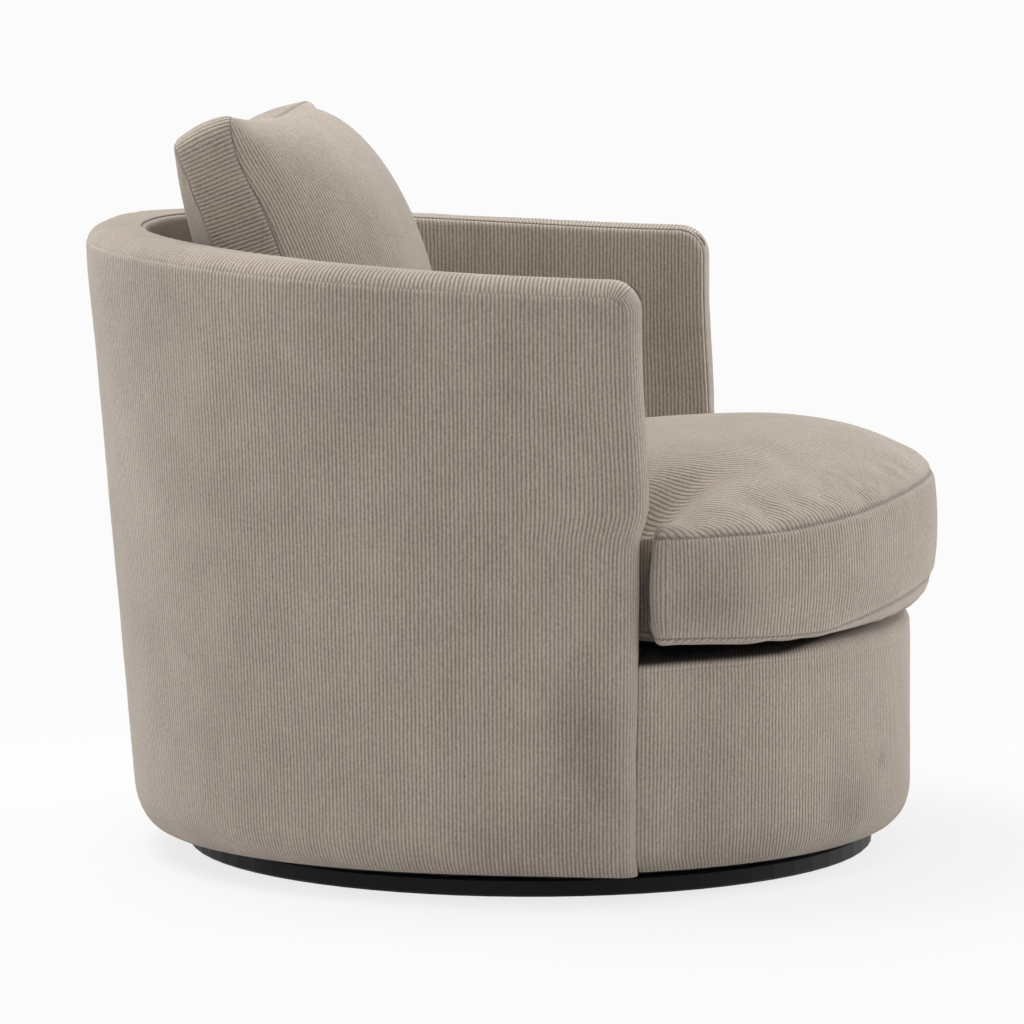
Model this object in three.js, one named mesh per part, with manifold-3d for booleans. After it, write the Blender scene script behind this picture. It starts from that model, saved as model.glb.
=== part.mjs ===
// Swivel barrel chair: an upholstered barrel on a ball-bearing swivel and a round plinth, with a loose
// T-shaped seat cushion and a loose, plump back cushion.
// Millimetres. The origin is on the floor on the swivel axis, the front is -Y and the sitter's right is -X.
import * as THREE from "three";
import { mergeVertices } from "three/addons/utils/BufferGeometryUtils.js";
import Module from "manifold-3d";

const wasm = await Module();
wasm.setup();

// Clearances
const seatGap = 0.3; // between a piece and what it is seated on
const frameClearance = 1; // between the wooden frame and the covers round it

// Barrel of the back and arms, measured on its outside
const rimHalfWidth = 402; // at the rim's height
const floorHalfWidth = 385; // the same wall carried down to the floor
const rimBackY = 441;
const floorBackY = 390;
const armEndY = -25; // where the straight arm meets the curved back
const armFrontY = -150.3;
const armFrontLean = 7; // how far the arm's front lies back at the floor
const frontRimZ = 597.5; // top of the band over the arm's front
const backRimZ = 627.5;
const rimSweepPower = 1.5; // how late the rim rises towards the back
const backRoundness = 2.26; // exponent of the superellipse of the back
const wallDepth = 61; // from the outside cover's face to the inside cover's face
const skirtZ = 28.5; // bottom edge of the covers
const skirtRoundDepth = 22; // of its rounded lower edge, inwards
const skirtRoundHeight = 40;
const skirtTurnUnder = 50;
const coverDepth = 5;
const insidePadDepth = 12;
const bandDepth = 13;
const bandRound = 12;
const bandCrown = 1.5;
const armCornerRound = 30; // where the band turns down the arm's front

// Front rail and deck
const railRadius = 382; // about the swivel axis
const railCoverDepth = 9;
const railRollRound = 10;
const railRollWidth = 45; // how far the rolled edge reaches in over the deck
const deckZ = 244.5; // top of the deck and of the rolled edge
const deckDepth = 18;

// Wooden frame
const boardDepth = 18;
const railBoardDepth = 22;
const postDepth = 22;
const postWidth = 45;
const backPostWidth = 50;
const postInset = 11; // from the barrel's outside
const topRailDepth = 18;
const seatRingWidth = 54;
const panelBoreRadius = 24;

// Plinth and glides
const plinthRadius = 345;
const plinthDepth = 17.5;
const plinthRound = 2;
const glideRadius = 15;
const glideDepth = 4;
const glideRingRadius = 300;
const glideCount = 6;

// Swivel bearing
const plateSize = 230;
const plateCornerRadius = 12;
const plateDepth = 2.5;
const plateSpacing = 9; // from the lower plate to the upper plate
const ballRadius = 3.5;
const ballRingRadius = 103;
const ballCount = 12;
const raceWidth = 16;
const raceHeight = 3.3;
const retainerDepth = 1.4;
const retainerWidth = 13;
const screwSpacing = 190;
const boltSpacing = 200;
const fastenerRadius = 2.6;
const fastenerHeadRadius = 5;
const fastenerHeadDepth = 2.2;
const fastenerFaceShare = 0.7; // of the head's radius, flat across its end
const screwLength = 13;
const boltLength = 15;
const studRadius = 8;
const studFlangeRadius = 16;
const studFlangeDepth = 2.5;
const studSpigotLength = 10;
const nutDepth = 8;
const nutRadius = 14;
const washerDepth = 1.5;
const washerRadius = 17;
const studEndLength = 2; // past the nut

// Dust cover
const dustDepth = 0.8;
const dustInset = 22;
const dustBoreRadius = 168;

// Springs
const springCount = 5;
const springPitch = 100; // from spring to spring
const wireRadius = 1.9;
const springSwing = 22; // half the width of the zigzag
const springTurns = 9;
const springSteps = 4; // in each turn
const springCrown = 4;

// Seat cushion
const seatFrontRadius = 405; // of its seams, about the swivel axis
const seatEarY = -164; // back edge of the ears
const seatEarRound = 20;
const seatSideClearance = 7; // from its seams to the inside cover
const seatSeamLowZ = 266;
const seatSeamHighZ = 360;
const seatSeamLowRise = 8; // of the lower seam at the middle of the front
const seatSeamHighRise = 33; // of the upper seam there
const seatCrown = 46;
const seatCrownPower = 0.95; // how gently it rises from its seam
const seatRearDrop = 5; // where the back cushion's weight presses it down
const seatRearDropY = 60; // where that begins, and is full at the back cushion's foot
const seatCrownReach = 190;
const seatUnderReach = 75;
const seatBoxingBulge = 6.5;
const seatCentreY = -200;

// Back cushion, in its own plane
const backWidth = 472;
const backHeight = 351;
const backBoxing = 60;
const backLean = THREE.MathUtils.degToRad(20);
const backFootY = 173.5;
const backFootZ = 399;
const backFrontCrown = 98;
const backRearCrown = 50;
const backCrownReach = 165;
const backCrownPower = 0.5;
const backSideFlatShare = 0.5; // how much of its crown is lost towards the sides
const backSideWaist = 10; // how far each side is drawn in between its corners
const backBoxingBulge = 5;
const backCornerRound = 10;

// Counts of facets, and how close two corners are one
const weldDistance = 1e-4;
const armSteps = 1;
const cornerSteps = 3;
const bandRoundSteps = 2;
const edgeSteps = 8;
const skirtSteps = 4;
const backSteps = 26;
const railSteps = 26;
const plinthSides = 72;
const roundSides = 20;
const smallSides = 12;
const ringSides = 48;
const wireSides = 6;
const grooveSteps = 4;
const nutSides = 6;
const ballDetail = 1;

// Finishes
const cord = { color: 0x9c8f80, roughness: 0.95, metalness: 0 };
const deckCloth = { color: 0x38342f, roughness: 0.95, metalness: 0 };
const blackCloth = { color: 0x202020, roughness: 0.9, metalness: 0 };
const plywood = { color: 0xc9a877, roughness: 0.7, metalness: 0 };
const blackPaint = { color: 0x17171a, roughness: 0.4, metalness: 0 };
const blackPlastic = { color: 0x101010, roughness: 0.6, metalness: 0 };
const steel = { color: 0x8d9094, roughness: 0.35, metalness: 0.9 };
const ballSteel = { color: 0xb9bcc0, roughness: 0.15, metalness: 1 };

// Heights and depths that follow
const plinthLowZ = glideDepth + seatGap;
const plinthHighZ = plinthLowZ + plinthDepth;
const lowerPlateZ = plinthHighZ + seatGap;
const raceLowZ = lowerPlateZ + plateDepth;
const ballZ = raceLowZ + plateSpacing / 2;
const upperPlateZ = raceLowZ + plateSpacing;
const panelLowZ = upperPlateZ + plateDepth + seatGap;
const panelHighZ = panelLowZ + boardDepth;
const frameZ = panelHighZ + seatGap;
const ringHighZ = deckZ - deckDepth - seatGap;
const ringLowZ = ringHighZ - boardDepth;
const skirtInnerZ = panelLowZ - seatGap;
const padInset = wallDepth - insidePadDepth;
const ringInset = postInset + postDepth + seatGap;
const ringInnerInset = ringInset + seatRingWidth;
const armBackOfBandY = armFrontY + bandDepth + seatGap;
const boardOuterRadius = railRadius - railCoverDepth - seatGap;
const boardInnerRadius = boardOuterRadius - railBoardDepth;
const rollInnerRadius = railRadius - railRollWidth;

const chair = new THREE.Group();

// Adds a named piece to the chair, or to a group that is placed in it
function addPiece(name, geometry, finish, parent = chair) {
  const mesh = new THREE.Mesh(geometry, new THREE.MeshStandardMaterial(finish));
  mesh.name = name;
  parent.add(mesh);
  return mesh;
}

// Names a repeated piece with its number
function numbered(name, index) {
  return `${name}_${String(index + 1).padStart(2, "0")}`;
}

function lerp(from, to, share) {
  return from + (to - from) * share;
}

// Boolean work on closed geometries

function toSolid(geometry) {
  const bare = geometry.index ? geometry.toNonIndexed() : geometry.clone();
  bare.deleteAttribute("normal");
  bare.deleteAttribute("uv");
  const merged = mergeVertices(bare, weldDistance);
  return new wasm.Manifold(
    new wasm.Mesh({
      numProp: 3,
      vertProperties: new Float32Array(merged.attributes.position.array),
      triVerts: new Uint32Array(merged.index.array),
    }),
  );
}

function toGeometry(solid) {
  const mesh = solid.getMesh();
  const geometry = new THREE.BufferGeometry();
  geometry.setAttribute("position", new THREE.BufferAttribute(mesh.vertProperties, 3));
  geometry.setIndex(new THREE.BufferAttribute(mesh.triVerts, 1));
  geometry.computeVertexNormals();
  return geometry;
}

function joined(...geometries) {
  return toGeometry(geometries.map(toSolid).reduce((whole, next) => whole.add(next)));
}

// Lofts closed rings of points into one solid and closes both ends
function loft(rings) {
  const count = rings[0].length;
  const positions = rings.flat().flatMap((point) => point.toArray());
  const faces = [];
  for (let i = 0; i + 1 < rings.length; i++) {
    for (let j = 0; j < count; j++) {
      const next = (j + 1) % count;
      const low = i * count;
      const high = low + count;
      faces.push(low + j, low + next, high + next, low + j, high + next, high + j);
    }
  }
  const last = (rings.length - 1) * count;
  for (const [a, b, c] of capFaces(rings[0])) faces.push(c, b, a);
  for (const [a, b, c] of capFaces(rings[rings.length - 1])) faces.push(last + a, last + b, last + c);
  const geometry = new THREE.BufferGeometry();
  geometry.setAttribute("position", new THREE.Float32BufferAttribute(positions, 3));
  geometry.setIndex(faces);
  return facingOut(geometry);
}

// Triangles over a flat ring of points, seen along the ring's own normal
function capFaces(ring) {
  const normal = new THREE.Vector3();
  ring.forEach((point, i) => {
    const next = ring[(i + 1) % ring.length];
    normal.add(new THREE.Vector3().crossVectors(point, next));
  });
  normal.normalize();
  const across = ring[1].clone().sub(ring[0]).projectOnPlane(normal).normalize();
  const up = new THREE.Vector3().crossVectors(normal, across);
  const flat = ring.map((point) => new THREE.Vector2(point.dot(across), point.dot(up)));
  return THREE.ShapeUtils.triangulateShape(flat, []);
}

// Turns a closed geometry so that its faces point out
function facingOut(geometry) {
  const position = geometry.attributes.position;
  const index = geometry.index.array;
  const corners = [new THREE.Vector3(), new THREE.Vector3(), new THREE.Vector3()];
  let volume = 0;
  for (let i = 0; i < index.length; i += 3) {
    corners.forEach((corner, k) => corner.fromBufferAttribute(position, index[i + k]));
    volume += corners[0].dot(corners[1].clone().cross(corners[2]));
  }
  if (volume < 0) {
    for (let i = 0; i < index.length; i += 3) [index[i + 1], index[i + 2]] = [index[i + 2], index[i + 1]];
  }
  geometry.computeVertexNormals();
  return geometry;
}

function arcPoints(centreX, centreY, radius, from, to, steps) {
  return Array.from({ length: steps + 1 }, (_, i) => {
    const angle = lerp(from, to, i / steps);
    return [centreX + radius * Math.cos(angle), centreY + radius * Math.sin(angle)];
  });
}

// The barrel in plan: its outside leans out towards the rim

function halfWidthAt(z) {
  return lerp(floorHalfWidth, rimHalfWidth, z / frontRimZ);
}

function backYAt(z) {
  return lerp(floorBackY, rimBackY, z / frontRimZ);
}

function rimZAt(y) {
  const share = Math.max(0, (y - armFrontY) / (rimBackY - armFrontY));
  return lerp(frontRimZ, backRimZ, share ** rimSweepPower);
}

// How far the arm's front lies back at a height
function frontSetBack(z) {
  return armFrontLean * (1 - z / frontRimZ);
}

// A station is a place along the barrel: a point of a straight arm, or an angle round the back
function planPoint(station, z, inset) {
  const width = halfWidthAt(z) - inset;
  if (station.turn === undefined) {
    const share = Math.min(1, (armEndY - station.y) / (armEndY - armFrontY));
    return [station.side * width, station.y + frontSetBack(z) * share];
  }
  const reach = backYAt(z) - armEndY - inset;
  const cosine = Math.cos(station.turn);
  const sine = Math.sin(station.turn);
  const power = Math.abs(cosine / width) ** backRoundness + Math.abs(sine / reach) ** backRoundness;
  const radius = power ** (-1 / backRoundness);
  return [-radius * cosine, armEndY + radius * sine];
}

function shellPoint(station, z, inset) {
  const [x, y] = planPoint(station, z, inset);
  return new THREE.Vector3(x, y, z);
}

// Height of the rim at a station, level across the wall
function stationRimZ(station) {
  const [, y] = planPoint(station, frontRimZ, 0);
  return rimZAt(y);
}

// Stations from the front of the right arm, round the back, to the front of the left arm
function shellStations(armYs) {
  const right = armYs.map((y) => ({ side: -1, y }));
  const back = Array.from({ length: backSteps - 1 }, (_, i) => ({ turn: (Math.PI * (i + 1)) / backSteps }));
  const left = [...armYs].reverse().map((y) => ({ side: 1, y }));
  return [...right, ...back, ...left];
}

function straightYs(fromY) {
  return Array.from({ length: armSteps + 1 }, (_, i) => lerp(fromY, armEndY, i / armSteps));
}

// Stations of a piece that follows the rounded top corner of the arm at a depth under the band's face
function corneredStations(depth) {
  const radius = armCornerRound - depth;
  const edgeY = armFrontY + depth;
  const rounded = Array.from({ length: cornerSteps }, (_, i) => {
    const angle = (i / cornerSteps) * (Math.PI / 2);
    return edgeY + radius * (1 - Math.cos(angle));
  });
  return shellStations([...rounded, ...straightYs(edgeY + radius)]);
}

// Height of such a piece's top edge
function topZAt(station, depth) {
  const cornerY = armFrontY + armCornerRound;
  const [, y] = planPoint(station, frontRimZ, 0);
  const radius = armCornerRound - depth;
  const intoCorner = Math.max(0, cornerY - y);
  const drop = radius - Math.sqrt(Math.max(0, radius ** 2 - intoCorner ** 2));
  return rimZAt(Math.max(y, cornerY)) - depth - drop;
}

// A wall of the barrel between two insets, from its lower edge up to the underside of the band. The lower
// edge is given as [inset, height], from the inside outwards
function barrelWall(outerInset, innerInset, lowerEdge) {
  const depth = bandDepth + seatGap;
  const rings = corneredStations(depth).map((station) => {
    const topZ = topZAt(station, depth);
    return [
      ...lowerEdge.map(([inset, z]) => shellPoint(station, z, inset)),
      shellPoint(station, topZ, outerInset),
      shellPoint(station, topZ, innerInset),
    ];
  });
  return loft(rings);
}

// The rounded lower edge of the covers, as [inset, height], from its underside outwards
function skirtCurve() {
  return arcPoints(1, 1, 1, -Math.PI / 2, -Math.PI, skirtSteps).map(([inset, height]) => [
    inset * skirtRoundDepth,
    height * skirtRoundHeight,
  ]);
}

function makeOutsideCover() {
  const lowerEdge = [
    [coverDepth, panelHighZ],
    [skirtRoundDepth, skirtInnerZ],
    [skirtTurnUnder, skirtInnerZ],
    [skirtTurnUnder, skirtZ],
    ...skirtCurve().map(([inset, height]) => [inset, skirtZ + height]),
  ];
  addPiece("outside_cover", barrelWall(0, coverDepth, lowerEdge), cord);
}

function makeInsideCover() {
  const lowZ = ringHighZ + seatGap;
  addPiece("inside_cover", barrelWall(padInset, wallDepth, [[wallDepth, lowZ], [padInset, lowZ]]), cord);
}

// The band's section, as [inset, depth] from the outside round to the inside
function bandSection() {
  const middle = Math.PI * 1.5;
  const outer = arcPoints(bandRound, bandRound, bandRound, Math.PI, middle, bandRoundSteps);
  const innerX = wallDepth - bandRound;
  const inner = arcPoints(innerX, bandRound, bandRound, middle, Math.PI * 2, bandRoundSteps);
  return [[0, bandDepth], ...outer, [wallDepth / 2, -bandCrown], ...inner, [wallDepth, bandDepth]];
}

// The band climbs the right arm's front, turns the corner, runs round the rim and comes down the left arm
function makeTopBand() {
  const section = bandSection();
  const cornerY = armFrontY + armCornerRound;
  const cornerZ = rimZAt(cornerY) - armCornerRound;
  const climb = [skirtZ, lerp(skirtZ, cornerZ, 1 / 2), cornerZ];
  const frontRings = (side) =>
    climb.map((z) =>
      section.map(([inset, depth]) => shellPoint({ side, y: armFrontY + depth }, z, inset)),
    );
  const cornerRings = (side) =>
    Array.from({ length: cornerSteps - 1 }, (_, i) => {
      const angle = ((i + 1) / cornerSteps) * (Math.PI / 2);
      return section.map(([inset, depth]) => {
        const y = cornerY - (armCornerRound - depth) * Math.cos(angle);
        const z = cornerZ + (armCornerRound - depth) * Math.sin(angle);
        return shellPoint({ side, y }, z, inset);
      });
    });
  const rimRings = shellStations(straightYs(cornerY)).map((station) =>
    section.map(([inset, depth]) => shellPoint(station, stationRimZ(station) - depth, inset)),
  );
  const rings = [
    ...frontRings(-1),
    ...cornerRings(-1),
    ...rimRings,
    ...cornerRings(1).reverse(),
    ...frontRings(1).reverse(),
  ];
  addPiece("top_band", loft(rings), cord);
}

// The plane of the rail's ends, just in front of the band
function railEndY(z) {
  return armFrontY + frontSetBack(z) - bandCrown - seatGap;
}

// A ring sector about the swivel axis whose ends lie in that plane
function frontSector(section) {
  const rings = Array.from({ length: railSteps + 1 }, (_, i) =>
    section.map(([radius, z]) => {
      const end = Math.asin(railEndY(z) / radius);
      const angle = lerp(-Math.PI - end, end, i / railSteps);
      return new THREE.Vector3(radius * Math.cos(angle), radius * Math.sin(angle), z);
    }),
  );
  return loft(rings);
}

function makeFrontRail() {
  const underside = skirtCurve().map(([inset, height]) => [railRadius - inset, skirtZ + height]);
  const roll = arcPoints(
    railRadius - railRollRound, deckZ - railRollRound, railRollRound, 0, Math.PI / 2, cornerSteps,
  );
  const cover = [
    [railRadius - skirtTurnUnder, skirtInnerZ],
    [railRadius - skirtTurnUnder, skirtZ],
    ...underside,
    ...roll,
    [rollInnerRadius, deckZ],
    [rollInnerRadius, deckZ - railCoverDepth],
    [railRadius - railCoverDepth, deckZ - railCoverDepth],
    [railRadius - railCoverDepth, panelHighZ],
    [railRadius - skirtRoundDepth, skirtInnerZ],
  ];
  addPiece("front_rail_cover", frontSector(cover), cord);
  const boardTopZ = deckZ - railCoverDepth - seatGap;
  const board = [
    [boardInnerRadius, frameZ],
    [boardOuterRadius, frameZ],
    [boardOuterRadius, boardTopZ],
    [boardInnerRadius, boardTopZ],
  ];
  addPiece("front_rail_board", frontSector(board), plywood);
}

// A board with a round front between the arms and a back that follows the barrel
function boardShape(frontRadius, frontEndY, shoulder, wallStartY, z, inset) {
  const end = Math.asin(frontEndY / frontRadius);
  const front = arcPoints(0, 0, frontRadius, -Math.PI - end, end, railSteps);
  const wall = shellStations(straightYs(wallStartY)).map((station) => planPoint(station, z, inset));
  const mirrored = shoulder.map(([x, y]) => [-x, y]).reverse();
  const points = [...front, ...shoulder, ...wall.reverse(), ...mirrored];
  return new THREE.Shape(points.map(([x, y]) => new THREE.Vector2(x, y)));
}

function roundPoints(x, y, radius, sides) {
  return Array.from({ length: sides }, (_, i) => {
    const angle = (i / sides) * Math.PI * 2;
    return new THREE.Vector2(x + radius * Math.cos(angle), y + radius * Math.sin(angle));
  });
}

function roundHole(x, y, radius, sides = smallSides) {
  return new THREE.Path(roundPoints(x, y, radius, sides).reverse());
}

// The four corners of a square pattern
function squareCorners(spacing) {
  return [1, -1].flatMap((x) => [1, -1].map((y) => [(x * spacing) / 2, (y * spacing) / 2]));
}

function extruded(shape, lowZ, depth) {
  const options = { depth, bevelEnabled: false, curveSegments: cornerSteps };
  return new THREE.ExtrudeGeometry(shape, options).translate(0, 0, lowZ);
}

function makeBottomPanel() {
  const bandInnerX = halfWidthAt(skirtZ) - wallDepth - seatGap;
  const frontY = railEndY(panelHighZ);
  const shoulder = [
    [bandInnerX, frontY],
    [bandInnerX, armBackOfBandY + frontSetBack(panelLowZ)],
  ];
  const inset = skirtRoundDepth + seatGap;
  const shape = boardShape(railRadius - inset, frontY, shoulder, armBackOfBandY, panelLowZ, inset);
  shape.holes.push(roundHole(0, 0, panelBoreRadius, roundSides));
  const boltHoles = squareCorners(boltSpacing).map(([x, y]) => roundHole(x, y, fastenerRadius + seatGap));
  shape.holes.push(...boltHoles);
  addPiece("bottom_panel", extruded(shape, panelLowZ, boardDepth), plywood);
}

function makeDeck() {
  const lowZ = deckZ - deckDepth;
  const frontY = armFrontY + frontSetBack(lowZ);
  const shape = boardShape(rollInnerRadius - seatGap, frontY, [], armFrontY, lowZ, wallDepth + seatGap);
  addPiece("deck", extruded(shape, lowZ, deckDepth), deckCloth);
}

function makeDustCover() {
  const lowZ = skirtZ - seatGap - dustDepth;
  const shape = boardShape(railRadius - dustInset, armFrontY, [], armBackOfBandY, lowZ, dustInset);
  shape.holes.push(roundHole(0, 0, dustBoreRadius, ringSides));
  addPiece("dust_cover", extruded(shape, lowZ, dustDepth), blackCloth);
}

// The flat seat ring, in the barrel's wall behind the deck
function makeSeatRing() {
  const rings = shellStations(straightYs(armBackOfBandY)).map((station) => [
    shellPoint(station, ringLowZ, ringInset),
    shellPoint(station, ringHighZ, ringInset),
    shellPoint(station, ringHighZ, ringInnerInset),
    shellPoint(station, ringLowZ, ringInnerInset),
  ]);
  addPiece("seat_ring", loft(rings), plywood);
}

// The curved rail under the band, from arm to arm
function topRailLowZ(station) {
  return stationRimZ(station) - bandDepth - seatGap - topRailDepth;
}

function makeTopRail() {
  const outerInset = coverDepth + frameClearance;
  const innerInset = padInset - frameClearance;
  const rings = shellStations(straightYs(armFrontY + armCornerRound)).map((station) => {
    const lowZ = topRailLowZ(station);
    return [
      shellPoint(station, lowZ, outerInset),
      shellPoint(station, lowZ + topRailDepth, outerInset),
      shellPoint(station, lowZ + topRailDepth, innerInset),
      shellPoint(station, lowZ, innerInset),
    ];
  });
  addPiece("top_rail", loft(rings), plywood);
}

// A post between two heights whose faces lie at two insets, leaning with the wall
function post(corners, lowZ, highZ) {
  return loft([lowZ, highZ].map((z) => corners(z).map(([x, y]) => new THREE.Vector3(x, y, z))));
}

function makePosts() {
  for (const [name, side] of [["right", -1], ["left", 1]]) {
    const front = { side, y: armBackOfBandY };
    const rear = { side, y: armBackOfBandY + postWidth };
    const outer = coverDepth + frameClearance;
    const inner = postInset + postDepth;
    const corners = (z) => [
      planPoint(front, z, outer),
      planPoint(rear, z, outer),
      planPoint(rear, z, inner),
      planPoint(front, z, inner),
    ];
    const highZ = topRailLowZ({ side, y: armBackOfBandY }) - seatGap;
    addPiece(`arm_post_${name}`, post(corners, frameZ, highZ), plywood);
  }
  const backTurns = { right: Math.PI / 4, middle: Math.PI / 2, left: (Math.PI * 3) / 4 };
  for (const [name, turn] of Object.entries(backTurns)) {
    const station = { turn };
    const along = backDirection(turn);
    const inward = new THREE.Vector2(along.y, -along.x);
    const corners = (z) => {
      const [outerX, outerY] = planPoint(station, z, postInset);
      return [[-1, 0], [1, 0], [1, 1], [-1, 1]].map(([sideways, deep]) => [
        outerX + (along.x * sideways * backPostWidth) / 2 + inward.x * deep * postDepth,
        outerY + (along.y * sideways * backPostWidth) / 2 + inward.y * deep * postDepth,
      ]);
    };
    const spread = backPostWidth / 2 / (backYAt(deckZ) - armEndY);
    const highZ = Math.min(...[-spread, spread].map((aside) => topRailLowZ({ turn: turn + aside })));
    addPiece(`back_post_${name}`, post(corners, frameZ, highZ - seatGap), plywood);
  }
}

// Direction of the back's curve in plan at an angle, at the deck's height
function backDirection(turn) {
  const sliver = Math.PI / 180;
  const [fromX, fromY] = planPoint({ turn: turn - sliver }, deckZ, postInset);
  const [toX, toY] = planPoint({ turn: turn + sliver }, deckZ, postInset);
  return new THREE.Vector2(toX - fromX, toY - fromY).normalize();
}

// Zigzag springs from the front rail board to the seat ring
function makeSprings() {
  for (let i = 0; i < springCount; i++) {
    const x = (i - (springCount - 1) / 2) * springPitch;
    const reachX = Math.abs(x) + springSwing;
    const frontY = -Math.sqrt(boardInnerRadius ** 2 - reachX ** 2) + wireRadius + seatGap;
    const backY = ringInnerYAt(reachX) - wireRadius - seatGap;
    const steps = springTurns * springSteps;
    const points = Array.from({ length: steps + 1 }, (_, k) => {
      const share = k / steps;
      const swing = springSwing * Math.sin((k / springSteps) * Math.PI * 2 + Math.PI / 4);
      const sag = springCrown * (1 - Math.sin(Math.PI * share));
      return new THREE.Vector3(x + swing, lerp(frontY, backY, share), ringHighZ - wireRadius - sag);
    });
    const wire = new THREE.Shape(roundPoints(0, 0, wireRadius, wireSides));
    const options = { steps, extrudePath: new THREE.CatmullRomCurve3(points), bevelEnabled: false };
    addPiece(numbered("seat_spring", i), new THREE.ExtrudeGeometry(wire, options), steel);
  }
}

// Where the seat ring's inner edge lies at a distance from the middle
function ringInnerYAt(x) {
  const width = halfWidthAt(ringHighZ) - ringInnerInset;
  const reach = backYAt(ringLowZ) - armEndY - ringInnerInset;
  return armEndY + reach * (1 - (x / width) ** backRoundness) ** (1 / backRoundness);
}

// Plinth, glides and bearing

function makePlinth() {
  const shape = new THREE.Shape(roundPoints(0, 0, plinthRadius - plinthRound, plinthSides));
  shape.holes.push(roundHole(0, 0, studRadius + seatGap + plinthRound, roundSides));
  for (const [x, y] of squareCorners(screwSpacing)) {
    shape.holes.push(roundHole(x, y, fastenerRadius + seatGap + plinthRound));
  }
  const geometry = new THREE.ExtrudeGeometry(shape, {
    depth: plinthDepth - 2 * plinthRound,
    bevelThickness: plinthRound,
    bevelSize: plinthRound,
    bevelSegments: 1,
  });
  addPiece("base_plinth", geometry.translate(0, 0, plinthLowZ + plinthRound), blackPaint);
}

function makeGlides() {
  const glide = () =>
    new THREE.CylinderGeometry(glideRadius, glideRadius, glideDepth, roundSides).rotateX(Math.PI / 2);
  const middle = addPiece("base_glide_middle", glide(), blackPlastic);
  middle.position.z = glideDepth / 2;
  for (let i = 0; i < glideCount; i++) {
    const angle = ((i + 1 / 2) / glideCount) * Math.PI * 2;
    const mesh = addPiece(numbered("base_glide", i), glide(), blackPlastic);
    mesh.position.set(glideRingRadius * Math.cos(angle), glideRingRadius * Math.sin(angle), glideDepth / 2);
  }
}

function lathed(profile, sides) {
  const points = profile.map(([radius, z]) => new THREE.Vector2(radius, z));
  return new THREE.LatheGeometry(points, sides).rotateX(Math.PI / 2);
}

// A square plate with its raised race, whose groove holds the balls. The race rises from the plate at z = 0
function bearingPlate(boreRadius, holeSpacing) {
  const half = plateSize / 2;
  const straight = half - plateCornerRadius;
  const shape = new THREE.Shape();
  shape.absarc(straight, straight, plateCornerRadius, 0, Math.PI / 2);
  shape.absarc(-straight, straight, plateCornerRadius, Math.PI / 2, Math.PI);
  shape.absarc(-straight, -straight, plateCornerRadius, Math.PI, Math.PI * 1.5);
  shape.absarc(straight, -straight, plateCornerRadius, Math.PI * 1.5, Math.PI * 2);
  shape.closePath();
  shape.holes.push(roundHole(0, 0, boreRadius, roundSides));
  const holes = squareCorners(holeSpacing).map(([x, y]) => roundHole(x, y, fastenerRadius + seatGap));
  shape.holes.push(...holes);
  const plate = extruded(shape, -plateDepth, plateDepth);
  const groove = grooveProfile();
  const race = lathed(
    [
      [ballRingRadius - raceWidth / 2, -plateDepth / 2],
      [ballRingRadius + raceWidth / 2, -plateDepth / 2],
      [ballRingRadius + raceWidth / 2, raceHeight],
      ...groove,
      [ballRingRadius - raceWidth / 2, raceHeight],
      [ballRingRadius - raceWidth / 2, -plateDepth / 2],
    ],
    ringSides,
  );
  return joined(plate, race);
}

// The groove's section, from its outer lip to its inner lip
function grooveProfile() {
  const grooveRadius = ballRadius + seatGap;
  const centreHeight = plateSpacing / 2;
  const lip = Math.acos((centreHeight - raceHeight) / grooveRadius);
  return Array.from({ length: grooveSteps + 1 }, (_, i) => {
    const angle = lerp(lip, -lip, i / grooveSteps);
    return [ballRingRadius + grooveRadius * Math.sin(angle), centreHeight - grooveRadius * Math.cos(angle)];
  });
}

// A fastener along +Z: its head lies below z = 0 and its shank above
function fastener(length) {
  return lathed(
    [
      [0, -fastenerHeadDepth],
      [fastenerHeadRadius * fastenerFaceShare, -fastenerHeadDepth],
      [fastenerHeadRadius, -fastenerHeadDepth / 2],
      [fastenerHeadRadius, 0],
      [fastenerRadius, 0],
      [fastenerRadius, length - fastenerRadius],
      [0, length],
    ],
    smallSides,
  );
}

function makeBearing() {
  const lower = addPiece("swivel_lower_plate", bearingPlate(studRadius + seatGap, screwSpacing), steel);
  lower.position.z = raceLowZ;
  const upper = addPiece("swivel_upper_plate", bearingPlate(studRadius + seatGap, boltSpacing), steel);
  upper.rotation.x = Math.PI;
  upper.position.z = upperPlateZ;
  squareCorners(screwSpacing).forEach(([x, y], i) => {
    const screw = addPiece(numbered("plate_screw", i), fastener(screwLength), steel);
    screw.rotation.x = Math.PI;
    screw.position.set(x, y, raceLowZ + seatGap);
  });
  squareCorners(boltSpacing).forEach(([x, y], i) => {
    const bolt = addPiece(numbered("seat_bolt", i), fastener(boltLength), steel);
    bolt.position.set(x, y, upperPlateZ - seatGap);
  });
  makeStud();
  makeRetainer();
}

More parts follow.
